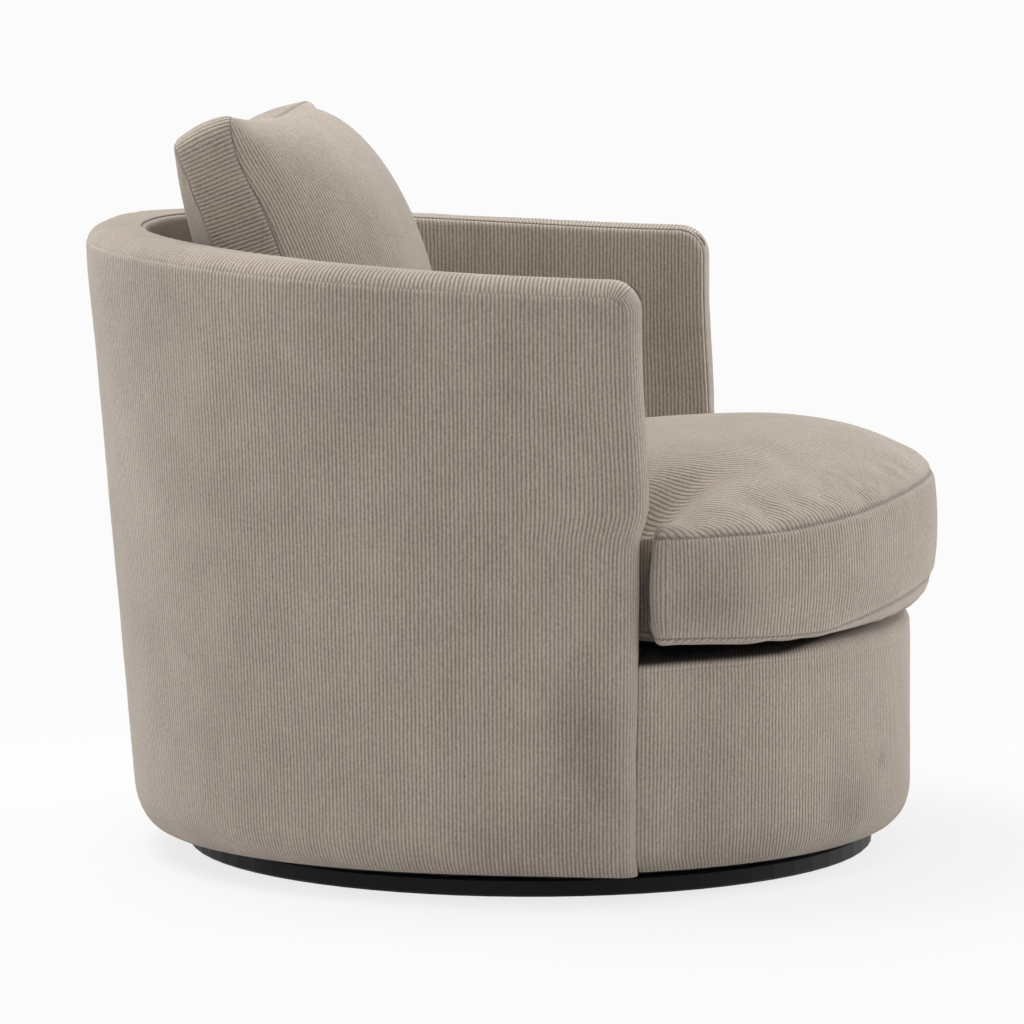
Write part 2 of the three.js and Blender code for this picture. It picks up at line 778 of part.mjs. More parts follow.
function makeStud() {
  const flangeZ = raceLowZ + seatGap;
  const nutTopZ = panelLowZ + washerDepth + nutDepth;
  const profile = [
    [0, flangeZ - plateDepth - studSpigotLength],
    [studRadius, flangeZ - plateDepth - studSpigotLength],
    [studRadius, flangeZ],
    [studFlangeRadius, flangeZ],
    [studFlangeRadius, flangeZ + studFlangeDepth],
    [studRadius, flangeZ + studFlangeDepth],
    [studRadius, nutTopZ + studEndLength],
    [0, nutTopZ + studEndLength],
  ];
  addPiece("pivot_stud", lathed(profile, roundSides), steel);
  const bore = roundHole(0, 0, studRadius + seatGap, roundSides);
  const washer = new THREE.Shape(roundPoints(0, 0, washerRadius, roundSides));
  washer.holes.push(bore);
  const nut = new THREE.Shape(roundPoints(0, 0, nutRadius, nutSides));
  nut.holes.push(bore);
  const flangeNut = joined(
    extruded(washer, panelLowZ, washerDepth),
    extruded(nut, panelLowZ + washerDepth / 2, nutDepth + washerDepth / 2),
  );
  addPiece("pivot_flange_nut", flangeNut, steel);
}

// The retainer and its balls, half way between the races
function makeRetainer() {
  const ring = new THREE.Shape(roundPoints(0, 0, ballRingRadius + retainerWidth / 2, ringSides));
  ring.holes.push(roundHole(0, 0, ballRingRadius - retainerWidth / 2, ringSides));
  const places = Array.from({ length: ballCount }, (_, i) => {
    const angle = (i / ballCount) * Math.PI * 2;
    return [ballRingRadius * Math.cos(angle), ballRingRadius * Math.sin(angle)];
  });
  for (const [x, y] of places) ring.holes.push(roundHole(x, y, ballRadius + seatGap));
  addPiece("ball_retainer", extruded(ring, ballZ - retainerDepth / 2, retainerDepth), steel);
  places.forEach(([x, y], i) => {
    const sphere = new THREE.IcosahedronGeometry(ballRadius, ballDetail);
    const ball = addPiece(numbered("bearing_ball", i), sphere, ballSteel);
    ball.position.set(x, y, ballZ);
  });
}

// Cushions: an outline in plan, boxed sides, and faces that swell with the distance from the outline

function distanceToOutline(point, outline) {
  let least = Infinity;
  const closest = new THREE.Vector2();
  outline.forEach((from, i) => {
    const along = outline[(i + 1) % outline.length].clone().sub(from);
    const share = THREE.MathUtils.clamp(point.clone().sub(from).dot(along) / along.lengthSq(), 0, 1);
    closest.copy(from).addScaledVector(along, share);
    least = Math.min(least, closest.distanceTo(point));
  });
  return least;
}

// How full a face is at a distance from the outline, from 0 at its seam to 1 past its reach
function fullness(distance, reach, power) {
  const share = 1 - Math.min(distance / reach, 1);
  return Math.max(0, 1 - share ** 2) ** power;
}

const faceRingShares = [0.955, 0.88, 0.76, 0.58, 0.34];
const boxingHeightShares = [0.25, 0.5, 0.75];

// A closed cushion. lowZ and highZ give its lower and upper face at a point, and bulge swells its boxing
function boxedCushion(outline, centre, lowZ, highZ, seamLowZ, seamHighZ, bulge) {
  const positions = [];
  const faces = [];
  const count = outline.length;
  const addRing = (share, heightAt) => {
    for (const corner of outline) {
      const point = corner.clone().sub(centre).multiplyScalar(share).add(centre);
      positions.push(point.x, point.y, heightAt(point));
    }
  };
  positions.push(centre.x, centre.y, lowZ(centre));
  for (const share of [...faceRingShares].reverse()) addRing(share, lowZ);
  addRing(1, seamLowZ);
  const outward = outlineNormals(outline);
  for (const share of boxingHeightShares) {
    outline.forEach((corner, i) => {
      const swell = bulge * Math.sin(Math.PI * share);
      const point = corner.clone().addScaledVector(outward[i], swell);
      positions.push(point.x, point.y, lerp(seamLowZ(corner), seamHighZ(corner), share));
    });
  }
  addRing(1, seamHighZ);
  for (const share of faceRingShares) addRing(share, highZ);
  positions.push(centre.x, centre.y, highZ(centre));
  const rings = 2 * faceRingShares.length + boxingHeightShares.length + 2;
  const lastPoint = positions.length / 3 - 1;
  for (let j = 0; j < count; j++) {
    const next = (j + 1) % count;
    faces.push(0, 1 + next, 1 + j);
    for (let i = 0; i + 1 < rings; i++) {
      const low = 1 + i * count;
      const high = low + count;
      faces.push(low + j, low + next, high + next, low + j, high + next, high + j);
    }
    const top = 1 + (rings - 1) * count;
    faces.push(top + j, top + next, lastPoint);
  }
  const geometry = new THREE.BufferGeometry();
  geometry.setAttribute("position", new THREE.Float32BufferAttribute(positions, 3));
  geometry.setIndex(faces);
  return facingOut(geometry);
}

// Unit normals that point out of a counter-clockwise outline
function outlineNormals(outline) {
  return outline.map((_, i) => {
    const before = outline[(i + outline.length - 1) % outline.length];
    const after = outline[(i + 1) % outline.length];
    const along = after.clone().sub(before).normalize();
    return new THREE.Vector2(along.y, -along.x);
  });
}

// The seat cushion's seams in plan, counter-clockwise from the right ear
function seatOutline() {
  const inset = wallDepth + seatSideClearance;
  const sideX = halfWidthAt(deckZ) - inset;
  const earX = Math.sqrt(seatFrontRadius ** 2 - seatEarY ** 2) - seatEarRound;
  const earY = seatEarY - seatEarRound;
  const start = Math.atan2(earY, earX + seatEarRound);
  const front = arcPoints(0, 0, seatFrontRadius, -Math.PI - start, start, railSteps);
  const ear = arcPoints(earX, earY, seatEarRound, 0, Math.PI / 2, cornerSteps).slice(1);
  const side = [[sideX, seatEarY], ...straightYs(seatEarY).slice(1, -1).map((y) => [sideX, y])];
  const half = [...ear, ...side];
  const stations = shellStations(straightYs(armEndY).slice(-1));
  const back = stations.map((station) => planPoint(station, deckZ, inset));
  const mirrored = half.map(([x, y]) => [-x, y]).reverse();
  return [...front, ...half, ...back.reverse(), ...mirrored].map(([x, y]) => new THREE.Vector2(x, y));
}

function makeSeatCushion() {
  const outline = seatOutline();
  const centre = new THREE.Vector2(0, seatCentreY);
  // The seams rise from the ears to the middle of the front
  const frontShare = ({ x, y }) => {
    const forward = THREE.MathUtils.smoothstep(-y, 0, seatFrontRadius);
    return forward * (1 - (x / seatFrontRadius) ** 2);
  };
  const seamLowZ = (point) => seatSeamLowZ + seatSeamLowRise * frontShare(point);
  const seamHighZ = (point) => seatSeamHighZ + seatSeamHighRise * frontShare(point);
  const highZ = (point) => {
    const crown = seatCrown * fullness(distanceToOutline(point, outline), seatCrownReach, seatCrownPower);
    const pressed = seatRearDrop * THREE.MathUtils.smoothstep(point.y, seatRearDropY, backFootY);
    return seamHighZ(point) + crown - pressed;
  };
  const restZ = deckZ + seatGap;
  const lowZ = (point) => {
    const distance = distanceToOutline(point, outline);
    return lerp(seamLowZ(point), restZ, fullness(distance, seatUnderReach, 1 / 2));
  };
  const geometry = boxedCushion(outline, centre, lowZ, highZ, seamLowZ, seamHighZ, seatBoxingBulge);
  addPiece("seat_cushion", geometry, cord);
}

// The back cushion's seams in its own plane: a rectangle with drawn-in sides and small round corners
function backOutline() {
  const half = backWidth / 2;
  const edge = (from, to, inward) =>
    Array.from({ length: edgeSteps }, (_, i) => {
      const share = i / edgeSteps;
      const waist = backSideWaist * Math.sin(Math.PI * share);
      return new THREE.Vector2(...from).lerp(new THREE.Vector2(...to), share).addScaledVector(inward, waist);
    });
  const trim = backCornerRound;
  const up = new THREE.Vector2(0, 1);
  const right = new THREE.Vector2(1, 0);
  return [
    ...edge([-half + trim, 0], [half - trim, 0], up.clone()),
    new THREE.Vector2(half - trim, 0),
    ...edge([half, trim], [half, backHeight - trim], right.clone().negate()),
    new THREE.Vector2(half, backHeight - trim),
    ...edge([half - trim, backHeight], [-half + trim, backHeight], up.clone().negate()),
    new THREE.Vector2(-half + trim, backHeight),
    ...edge([-half, backHeight - trim], [-half, trim], right.clone()),
    new THREE.Vector2(-half, trim),
  ];
}

function makeBackCushion() {
  const outline = backOutline();
  const centre = new THREE.Vector2(0, backHeight / 2);
  const halfBoxing = backBoxing / 2;
  const swell = (point) => {
    const kept = 1 - backSideFlatShare * (point.x / (backWidth / 2)) ** 2;
    return kept * fullness(distanceToOutline(point, outline), backCrownReach, backCrownPower);
  };
  const front = (point) => halfBoxing + backFrontCrown * swell(point);
  const rear = (point) => halfBoxing + backRearCrown * swell(point);
  const geometry = boxedCushion(
    outline,
    centre,
    (point) => -rear(point),
    front,
    () => -halfBoxing,
    () => halfBoxing,
    backBoxingBulge,
  );
  const leaning = new THREE.Group();
  leaning.position.set(0, backFootY, backFootZ);
  leaning.rotation.x = Math.PI / 2 - backLean;
  addPiece("back_cushion", geometry, cord, leaning);
  chair.add(leaning);
}

makePlinth();
makeGlides();
makeBearing();
makeBottomPanel();
makeSeatRing();
makeTopRail();
makePosts();
makeSprings();
makeFrontRail();
makeOutsideCover();
makeInsideCover();
makeTopBand();
makeDeck();
makeDustCover();
makeSeatCushion();
makeBackCushion();

export default chair;
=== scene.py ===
import math

import bmesh
import bpy
import numpy as np
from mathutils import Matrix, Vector, noise
from mathutils.bvhtree import BVHTree
from mathutils.geometry import delaunay_2d_cdt
from numpy import arange, array, concatenate as join, linspace, maximum, minimum, stack, where
from numpy.linalg import norm


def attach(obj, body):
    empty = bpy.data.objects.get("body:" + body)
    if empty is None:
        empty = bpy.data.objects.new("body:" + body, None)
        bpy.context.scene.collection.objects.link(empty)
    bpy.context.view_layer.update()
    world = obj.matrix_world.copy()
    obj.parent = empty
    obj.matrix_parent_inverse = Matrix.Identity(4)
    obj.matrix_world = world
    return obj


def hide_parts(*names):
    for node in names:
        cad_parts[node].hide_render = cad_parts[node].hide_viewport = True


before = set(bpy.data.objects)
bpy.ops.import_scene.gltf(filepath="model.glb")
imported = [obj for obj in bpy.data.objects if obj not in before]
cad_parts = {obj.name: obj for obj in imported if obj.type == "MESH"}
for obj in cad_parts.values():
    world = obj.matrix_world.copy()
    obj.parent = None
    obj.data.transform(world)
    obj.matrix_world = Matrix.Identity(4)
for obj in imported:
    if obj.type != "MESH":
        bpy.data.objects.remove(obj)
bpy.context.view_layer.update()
scene = bpy.context.scene

# The barrel, as in the model's source
RIM_HALF, FLOOR_HALF = 0.402, 0.385
RIM_BACK, FLOOR_BACK = 0.441, 0.390
ARM_END = -0.025  # where the arms' straight sides meet the round back
ARM_FRONT = -0.1503
LEAN_FOOT, LEAN_RIM = 0.009, 0.0045  # how far an arm's front stands back, at the floor and at the rim
SWELL, SWELL_Z = 0.0085, 0.382  # the arms' fronts swell at the seat cushion's top
SWELL_ABOVE, SWELL_BELOW = 0.10, 0.021
RIM_Z, BACK_RIM_Z = 0.5975, 0.6275
RIM_POWER = 1.5  # the rim rises more and more towards the back
ROUNDNESS = 2.26
WALL = 0.061
BAND = 0.0133
BAND_CROWN, BAND_SEAM_REACH = 0.0015, 0.0009
OUTER_ROUND = (0.024, 0.020)  # across and down
INNER_ROUND = 0.008
INNER_SEAM = 0.001
CORNER = 0.030
CORNER_Y = ARM_FRONT + CORNER
SKIRT_Z, SKIRT_INNER_Z = 0.0285, 0.0361
SKIRT_DEPTH, SKIRT_HEIGHT = 0.022, 0.040
SKIRT_TOP = SKIRT_Z + SKIRT_HEIGHT
SKIRT_FLAT, SKIRT_UNDER = (0.028, 0.037), 0.050  # insets where the turned-under edge lies flat, and its end
SKIRT_FADE = 8  # rows over which the wall's unevenness fades under it
DECK_Z, DECK_LOW = 0.2445, 0.2265

# The front rail
RAIL = 0.382
RAIL_ROUND, RAIL_ROLL = (0.009, 0.012), 0.045
RAIL_RISE = 0.006  # the rolled edge goes on rising towards the deck
RAIL_ROLL_Z = DECK_Z - RAIL_RISE - RAIL_ROUND[1]
RAIL_SEAM_Z = RAIL_ROLL_Z - 0.001
RAIL_SEAM_ROWS = (-0.0045, -0.0022, -0.0008, 0, 0.0008)  # rows beside the seam
RAIL_TUCK = (0.002, 0.009)  # depths under the deck at which the cloth is tucked in
RAIL_FLARE, FLARE_REACH = 0.011, 0.035
FACE_START, FACE_REACH = 0.012, 0.010  # how far in from the face the top's own form takes over
RAIL_END_GAP = 0.0003
# The roll's cord is painted darker towards the deck, as painted shade for the gap under the seat cushion's
# front: how far over the seam that starts, and over what height it does, beside the arms and at the front
PAINTED_SHADE_START, PAINTED_SHADE_REACH, PAINTED_SHADE_FROM = (0.003, 0.012), (0.007, 0.040), 0.70

# The deck and the lining under the seat
DECK_GAP = 0.0006
DECK_EDGE_DROP, DECK_EDGE_REACH = 0.002, 0.006

# The cloth
RIB = 0.00396  # from rib to rib
SEAM_DEPTH, SEAM_REACH = 0.0014, 0.0026
SOFT_DEPTH, SOFT_SEAM = 0.0006, 0.0008  # a seam drawn in less, and how much fainter its stitches look
GATHER_SCALE, GATHER_SEED, GATHER_REACH = 48.0, 8.0, 0.008  # puckers beside a cushion's seam
DRAWN_REACH = 0.0016
FAR = 1.0  # stands for no seam near
DENT = 0.002  # depth of the dent at a full mark
# Padding: how far it stands out, how far from its edges, its unevenness in layers of size, scale and seed
OUTSIDE_PAD = 0.0008, 0.03, ((0.0016, 5.0, 0.0), (0.0005, 21.0, 3.0)), DENT
INSIDE_PAD = 0.0005, 0.04, ((0.0022, 6.0, 7.0), (0.0006, 24.0, 9.0))
BAND_PAD = 0, 0.01, ((0.0008, 16.0, 5.0), (0.0004, 42.0, 6.0))
RAIL_PAD = 0.0008, 0.02, ((0.0018, 6.0, 11.0), (0.0005, 25.0, 12.0)), DENT
DECK_UNEVEN = ((0.0012, 12.0, 2.0),)
LINING_UNEVEN = ((0.0003, 14.0, 4.0),)

# The seat cushion. A seam's rise to the front: its height, and the shares of the radius where it starts and
# over which it is done. A pair holds the values at the back and at the front
SEAT_RADIUS = 0.405
SEAT_EAR, SEAT_EAR_ROUND = -0.157, 0.020
SEAT_SIDE_GAP = 0.007
SEAT_SLACK = 0.010  # how much lower it starts, for the simulation to blow up
TOP_SEAM, TOP_RISE = 0.3535, (0.026, 0.62, 0.38)
SEAT_TOP, SEAT_CROWN, SEAT_FILL_OVER = 0.399, 0.041, 0.4
SEAT_REACH, SEAT_POWER = (0.19, 0.14), (0.95, 0.5)
LOW_SEAM, LOW_DIP, LOW_RISE = 0.2585, (0.0065, 0.4, 0.35), (0.027, 0.78, 0.22)
LOW_REACH, LOW_POWER = 0.035, 0.5
SEAT_BULGE, SLACK_BULGE, EAR_BULGE = 0.0065, 0.3, 0.002
SEAT_CAP, CAP_FROM, CAP_OVER = (0.002, 0.024), 0.262, 0.04  # it lies flat on the deck
CREASE_START, CREASE_END = (0.316, -0.125), (0.185, -0.250)
CREASE_NEAR, CREASE_FAR, CREASE_WIDTH = 0.040, 0.010, 0.026
CREASE_LOW, CREASE_OVER = 0.345, 0.03
EVEN_FROM, EVEN_TIMES = 0.02, 14

# The back cushion
BACK_WIDTH, BACK_HEIGHT, BACK_BOXING = 0.472, 0.351, 0.060
BACK_TRIM = 0.010
BACK_WAIST = 0.010  # how far its edges draw in halfway along
BACK_LEAN = math.radians(20)
BACK_FOOT = Vector((0.0, 0.1735, 0.399))
BACK_FULL, BACK_SLACK = (0.098, 0.050), (0.003, 0.012)  # at the front and at the rear
BACK_REACH, SIDE_POWER, END_POWER, SIDE_LOSS = 0.165, 0.7, 0.42, 0.5
BACK_BULGE, BACK_CAP = 0.005, 0.026
BACK_REST_Z, OVER_SEAT = 0.47, 0.9  # where it may touch the seat, and a height over everything

# Both cushions: how firmly their seams are held, and how clear they stay of what is round them
SEAM_HOLD, HOLD_REACH = 0.35, 0.006
SEAT_PUCKER, BACK_PUCKER = 0.0005, 0.0003
WALL_CLEAR, ARM_CLEAR, REST_CLEAR = 0.0015, 0.0014, 0.0006
CLEAR_EDGE = 0.004  # how far past the arms' fronts and over the rim that still counts
SEAM_ROWS = (0.0024, 0.0065)  # rows of points beside their seams
BOX_ROWS, BOX_SEAM_ROWS = (0.07, 0.93), (0.024, 0.976)
FRAMES = 20
CLOTH = {
    "use_pressure": True, "uniform_pressure_force": 4.0, "quality": 6, "mass": 0.25, "air_damping": 2,
    "tension_stiffness": 18, "compression_stiffness": 6, "shear_stiffness": 6, "bending_stiffness": 0.35,
    "vertex_group_mass": "held", "pin_stiffness": 0.6,
}

# The studio
FLOOR_SIZE, FLOOR_GREY = 14, (0.80, 0.80, 0.80, 1)
WHITE, BACKGROUND = (1, 1, 1, 1), 0.965
FADE_START, FADE_END, FADE_LEAST = 0.5, 1.2, 0.82  # the floor whitens away from the chair
WORLD_LIGHT, WORLD_STRENGTH = (1.0, 0.995, 0.985, 1), 0.50
# Name, place, target, size and watts
LAMPS = (
    ("top_back_box", (0.2, 1.2, 3.0), (0, 0.1, 0.4), (2.2, 2.2), 77),
    ("near_high_box", (-2.9, 0.7, 3.0), (0, 0, 0.3), (1.8, 1.8), 27),
    ("back_left_box", (0.6, 3.3, 1.9), (0, 0, 0.4), (1.6, 2.2), 16.5),
    ("front_near_box", (0.9, -2.2, 0.8), (0, -0.2, 0.3), (1.4, 1.0), 34.5),
)


def lerp(a, b, share):
    return a + (b - a) * share


def smooth(share):
    share = np.clip(share, 0, 1)
    return share * share * (3 - 2 * share)


def bell(distance, reach):
    return np.exp(-((distance / reach) ** 2))


def rounding(share):
    """How far a quarter round has drawn in, from 0 at its start to 1."""
    return 1 - np.sqrt(1 - np.clip(share, 0, 1) ** 2)


def new_object(name, data):
    thing = bpy.data.objects.new(name, data)
    scene.collection.objects.link(thing)
    return thing


def aim(thing, place, target):
    thing.location = place
    thing.rotation_euler = (Vector(target) - thing.location).to_track_quat("-Z", "Y").to_euler()


def make_camera():
    """The photograph's camera, turned by swing from the chair's side towards its front."""
    swing, distance, height = 0.1153, 6.0, 1.0411
    aside, target_z = -0.0186, 0.3347
    data = bpy.data.cameras.new("camera")
    data.sensor_width, data.lens = 36, 210.94
    scene.camera = new_object("camera", data)
    place = (-distance * math.cos(swing), -distance * math.sin(swing), height)
    aim(scene.camera, place, (aside * math.sin(swing), -aside * math.cos(swing), target_z))


make_camera()


# Materials


class Nodes:
    """A short way to write the nodes of a material or a world."""

    def __init__(self, owner, bare=False):
        owner.use_nodes = True
        self.owner, self.tree = owner, owner.node_tree
        if bare:
            self.tree.nodes.clear()
        else:
            self.shader = self.tree.nodes["Principled BSDF"]

    def put(self, socket, value):
        if isinstance(value, bpy.types.NodeSocket):
            self.tree.links.new(value, socket)
        else:
            socket.default_value = value

    def add(self, kind, *values, **options):
        """A node of a ShaderNode kind, with these values or links in its first sockets."""
        node = self.tree.nodes.new("ShaderNode" + kind)
        for key, value in options.items():
            setattr(node, key, value)
        for socket, value in zip(node.inputs, values):
            self.put(socket, value)
        return node

    def math(self, operation, *values, clamp=False):
        return self.add("Math", *values, operation=operation, use_clamp=clamp).outputs[0]

    def plus(self, a, b, clamp=False):
        return self.math("ADD", a, b, clamp=clamp)

    def minus(self, a, b, clamp=False):
        return self.math("SUBTRACT", a, b, clamp=clamp)

    def times(self, a, b):
        return self.math("MULTIPLY", a, b)

    def mix(self, share, a, b):
        node = self.add("Mix", share, data_type="RGBA")
        self.put(node.inputs[6], a)
        self.put(node.inputs[7], b)
        return node.outputs[2]

    def range(self, value, low, high, to_low=0.0, to_high=1.0, **options):
        return self.add("MapRange", value, low, high, to_low, to_high, **options).outputs[0]

    def noise(self, vector, scale, detail=2.0, roughness=0.5):
        return self.add("TexNoise", vector, 0.0, scale, detail, roughness).outputs["Fac"]

    def stray(self, *noise):
        """Noise that goes as far below nothing as above it."""
        return self.minus(self.noise(*noise), 0.5)

    def vector(self, x, y, z):
        return self.add("CombineXYZ", x, y, z).outputs[0]

    def parts(self, vector):
        return self.add("SeparateXYZ", vector).outputs

    def attribute(self, name):
        return self.add("Attribute", attribute_name=name).outputs["Fac"]

    def bump(self, height, strength):
        node = self.add("Bump")
        node.inputs["Distance"].default_value = 1.0
        node.inputs["Strength"].default_value = strength
        self.put(node.inputs["Height"], height)
        self.put(self.shader.inputs["Normal"], node.outputs[0])

    def place(self):
        return self.add("TexCoord").outputs["Object"]

    def set(self, **values):
        for key, value in values.items():
            self.put(self.shader.inputs[key.replace("_", " ")], value)

    def sight(self):
        """1 for what the camera sees, straight, mirrored or through glass."""
        path = self.add("LightPath").outputs
        mirrored = self.math("MAXIMUM", path["Is Camera Ray"], path["Is Glossy Ray"])
        return self.math("MAXIMUM", mirrored, path["Is Transmission Ray"])

    def end(self, kind, share, a, b):
        """The output, fed by a mix of two shaders."""
        self.add(kind, self.add("MixShader", share, a, b).outputs[0])


def new_material(name, bare=False):
    return Nodes(bpy.data.materials.new(name), bare)


def cord_material(name, paints_shade=False):
    """Ribbed pile cloth. The map ribs holds metres across the ribs and along them. Where asked, shade is
    painted in where the attribute dark says.
    """
    hollow, ridge = (0.172, 0.145, 0.120, 1), (0.485, 0.412, 0.348, 1)
    worn_colour, stitch_colour = (0.66, 0.58, 0.50, 1), (0.06, 0.05, 0.042, 1)
    n = new_material(name)
    across, along = n.parts(n.add("UVMap", uv_map="ribs").outputs[0])[:2]
    place = n.place()

    def woven(across_scale, along_scale, detail=1.0, roughness=0.5):
        """Noise laid out by the ribs, with its own scale each way."""
        spot = n.vector(n.times(across, across_scale), n.times(along, along_scale), 0.0)
        return n.stray(spot, 1.0, detail, roughness)

    # The ribs wander together a little, and each one by itself
    turn = n.math("DIVIDE", across, RIB)
    for scales, size in (((30.0, 10.0), 0.4), ((280.0, 60.0), 0.28)):
        turn = n.plus(turn, n.times(woven(*scales), size))
    from_middle = n.math("ABSOLUTE", n.minus(n.times(n.math("FRACT", turn), 2.0), 1.0))
    crown = n.minus(1.0, n.math("POWER", from_middle, 2.0))
    # Short tufts along each rib, stray fibres, and broad shades where the pile lies another way
    tufts = woven(620.0, 300.0, 2.0, 0.65)
    fuzz = n.stray(place, 900.0, 2.0, 0.7)
    speckle = n.stray(place, 300.0, 2.0, 0.6)
    nap = n.stray(place, 6.0, 3.0, 0.55)
    soft = n.stray(place, 24.0, 2.0, 0.5)
    share = n.times(crown, 0.74)
    for value, size in ((tufts, 0.75), (fuzz, 0.35), (speckle, 0.55), (nap, 0.36), (soft, 0.2)):
        share = n.plus(share, n.times(value, size))
    # Darker at the marks listed in MARKS
    share = n.minus(share, n.times(n.attribute("darker_spots"), 0.30))
    colour = n.mix(n.plus(share, 0.04, clamp=True), hollow, ridge)
    seam = n.attribute("seam")
    stitch = n.range(seam, 0.0002, 0.0014, 1.0, 0.0)
    worn = n.times(n.range(seam, 0.0016, 0.007, 1.0, 0.0), n.minus(1.0, stitch))
    colour = n.mix(n.times(worn, 0.08), colour, worn_colour)
    colour = n.mix(n.times(stitch, 0.42), colour, stitch_colour)
    sheen = 0.3
    # Painted shade: towards the deck the cord turns near-black and loses its sheen, as the attribute dark
    # says
    if paints_shade:
        dark = n.attribute("dark")
        colour = n.mix(dark, colour, (0.014, 0.012, 0.010, 1))
        sheen = n.range(dark, 0.0, 1.0, sheen, 0.0)
    n.set(Base_Color=colour, Roughness=n.range(crown, 0.0, 1.0, 0.98, 0.88), Specular_IOR_Level=0.12)
    n.set(Sheen_Weight=sheen, Sheen_Roughness=0.5, Sheen_Tint=(1.0, 0.95, 0.9, 1))
    height = n.times(crown, 0.0008)
    for value, size in ((tufts, 0.0005), (speckle, 0.0005), (stitch, -0.0006)):
        height = n.plus(height, n.times(value, size))
    n.bump(height, 0.75)
    return n.owner


def weave_material(name, light, dark, pitch):
    """Plain woven cloth, from threads in two directions."""
    n = new_material(name)
    place = n.place()
    parts = n.parts(place)
    threads = [n.math("SINE", n.times(parts[axis], 2 * math.pi / pitch)) for axis in (0, 1)]
    share = n.plus(n.times(n.times(*threads), 0.28), n.times(n.noise(place, 240.0, 3.0, 0.6), 0.7))
    share = n.plus(share, n.times(n.noise(place, 9.0), 0.35), clamp=True)
    n.set(Base_Color=n.mix(share, dark, light), Roughness=0.93, Sheen_Weight=0.1, Specular_IOR_Level=0.2)
    n.bump(n.times(share, 0.0004), 0.6)
    return n.owner


def wood_material():
    """Birch plywood: soft grain on its faces and plies on its edges."""
    face_dark, face_light = (0.62, 0.44, 0.27, 1), (0.79, 0.63, 0.43, 1)
    ply_dark, ply_light, ply_pair = (0.40, 0.26, 0.15, 1), (0.74, 0.58, 0.39, 1), 0.0036
    n = new_material("birch_plywood")
    x, y, z = n.parts(n.place())
    upright = n.parts(n.add("NewGeometry").outputs["True Normal"])[2]
    edge = n.minus(1.0, n.math("ABSOLUTE", upright), clamp=True)
    grain = n.noise(n.vector(n.times(x, 6.0), n.times(y, 90.0), z), 1.0, 5.0, 0.62)
    ply = n.math("GREATER_THAN", n.math("SINE", n.times(z, 2 * math.pi / ply_pair)), 0.1)
    colour = n.mix(edge, n.mix(grain, face_dark, face_light), n.mix(ply, ply_dark, ply_light))
    n.set(Base_Color=colour, Roughness=n.range(grain, 0.3, 0.7, 0.6, 0.75), Specular_IOR_Level=0.35)
    n.bump(n.times(grain, 0.0003), 0.5)
    return n.owner


def hard_material(name, colour, other, roughness, metallic, grain, bump=0.00008, gloss=0.5):
    """Paint, plastic or metal whose colour and gloss vary a little over the surface."""
    n = new_material(name)
    place = n.place()
    fine = n.noise(place, grain, 4.0, 0.6)
    broad = n.noise(place, 14.0, 3.0, 0.5)
    share = n.plus(n.times(fine, 0.5), n.times(broad, 0.5), clamp=True)
    n.set(Base_Color=n.mix(share, colour, other), Metallic=metallic, Specular_IOR_Level=gloss)
    n.set(Roughness=n.range(broad, 0.3, 0.7, roughness * 0.85, roughness * 1.15))
    n.bump(n.times(fine, bump), 0.6)
    return n.owner


cord = cord_material("cord_cloth")
# The rail's cord, with shade painted in towards the deck
rail_cord_painted_shade = cord_material("rail_cord_cloth", paints_shade=True)
# The deck's cloth is near black, which also stands in for the shade in the gap under the seat cushion's
# front
deck_cloth = weave_material("dark_deck_cloth", (0.060, 0.054, 0.048, 1), (0.018, 0.016, 0.014, 1), 0.0016)
black_cloth = weave_material("black_lining", (0.035, 0.035, 0.036, 1), (0.010, 0.010, 0.011, 1), 0.0011)
wood = wood_material()
paint = hard_material(
    "plinth_black", (0.004, 0.004, 0.004, 1), (0.010, 0.010, 0.011, 1), 0.5, 0.0, 420.0, gloss=0.14
)
plastic = hard_material("glide_black", (0.012, 0.012, 0.012, 1), (0.030, 0.030, 0.030, 1), 0.55, 0.0, 900.0)
steel = hard_material("zinc_steel", (0.42, 0.43, 0.45, 1), (0.60, 0.61, 0.63, 1), 0.34, 1.0, 260.0)
ball_steel = hard_material("ball_steel", (0.62, 0.63, 0.65, 1), (0.72, 0.73, 0.75, 1), 0.12, 1.0, 600.0, 0.0)

# The finish of each CAD node that shows as it is, by how its name starts
FINISHES = (
    (paint, ("base_plinth",)),
    (plastic, ("base_glide",)),
    (ball_steel, ("bearing_ball",)),
    (steel, ("swivel_", "plate_screw", "seat_bolt", "pivot_", "ball_retainer", "seat_spring")),
    (wood, ("bottom_panel", "seat_ring", "top_rail", "arm_post", "back_post", "front_rail_board")),
)
for name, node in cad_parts.items():
    for finish, starts in FINISHES:
        if name.startswith(starts):
            node.data.materials.clear()
            node.data.materials.append(finish)


# Meshes


# Places where the cloth is darker and the padding gave a little: centre, size, strength
MARKS = (
    ((-0.387, -0.098, 0.160), (0.030, 0.030, 0.065), 1.0),
    ((-0.387, -0.060, 0.060), (0.030, 0.110, 0.030), 0.4),
    ((-0.189, -0.332, 0.068), (0.035, 0.035, 0.028), 0.9),
    ((-0.123, -0.362, 0.109), (0.007, 0.007, 0.009), 1.2),
    ((-0.345, -0.215, 0.290), (0.040, 0.030, 0.016), 0.5),
    ((0.322, -0.105, 0.500), (0.020, 0.030, 0.050), 0.5),
    ((-0.350, 0.220, 0.430), (0.050, 0.060, 0.100), 0.25),
    ((0.300, 0.290, 0.200), (0.060, 0.060, 0.070), 0.5),
    ((0.390, -0.080, 0.330), (0.040, 0.040, 0.080), 0.4),
)


def marks(points):
    total = np.zeros(len(points))
    for centre, size, strength in MARKS:
        total += strength * np.exp(-((((points - centre) / size) ** 2).sum(1)))
    return total


def set_attribute(mesh, name, values):
    attribute = mesh.attributes.new(name, "FLOAT", "POINT")
    attribute.data.foreach_set("value", np.asarray(values, np.float32).ravel())


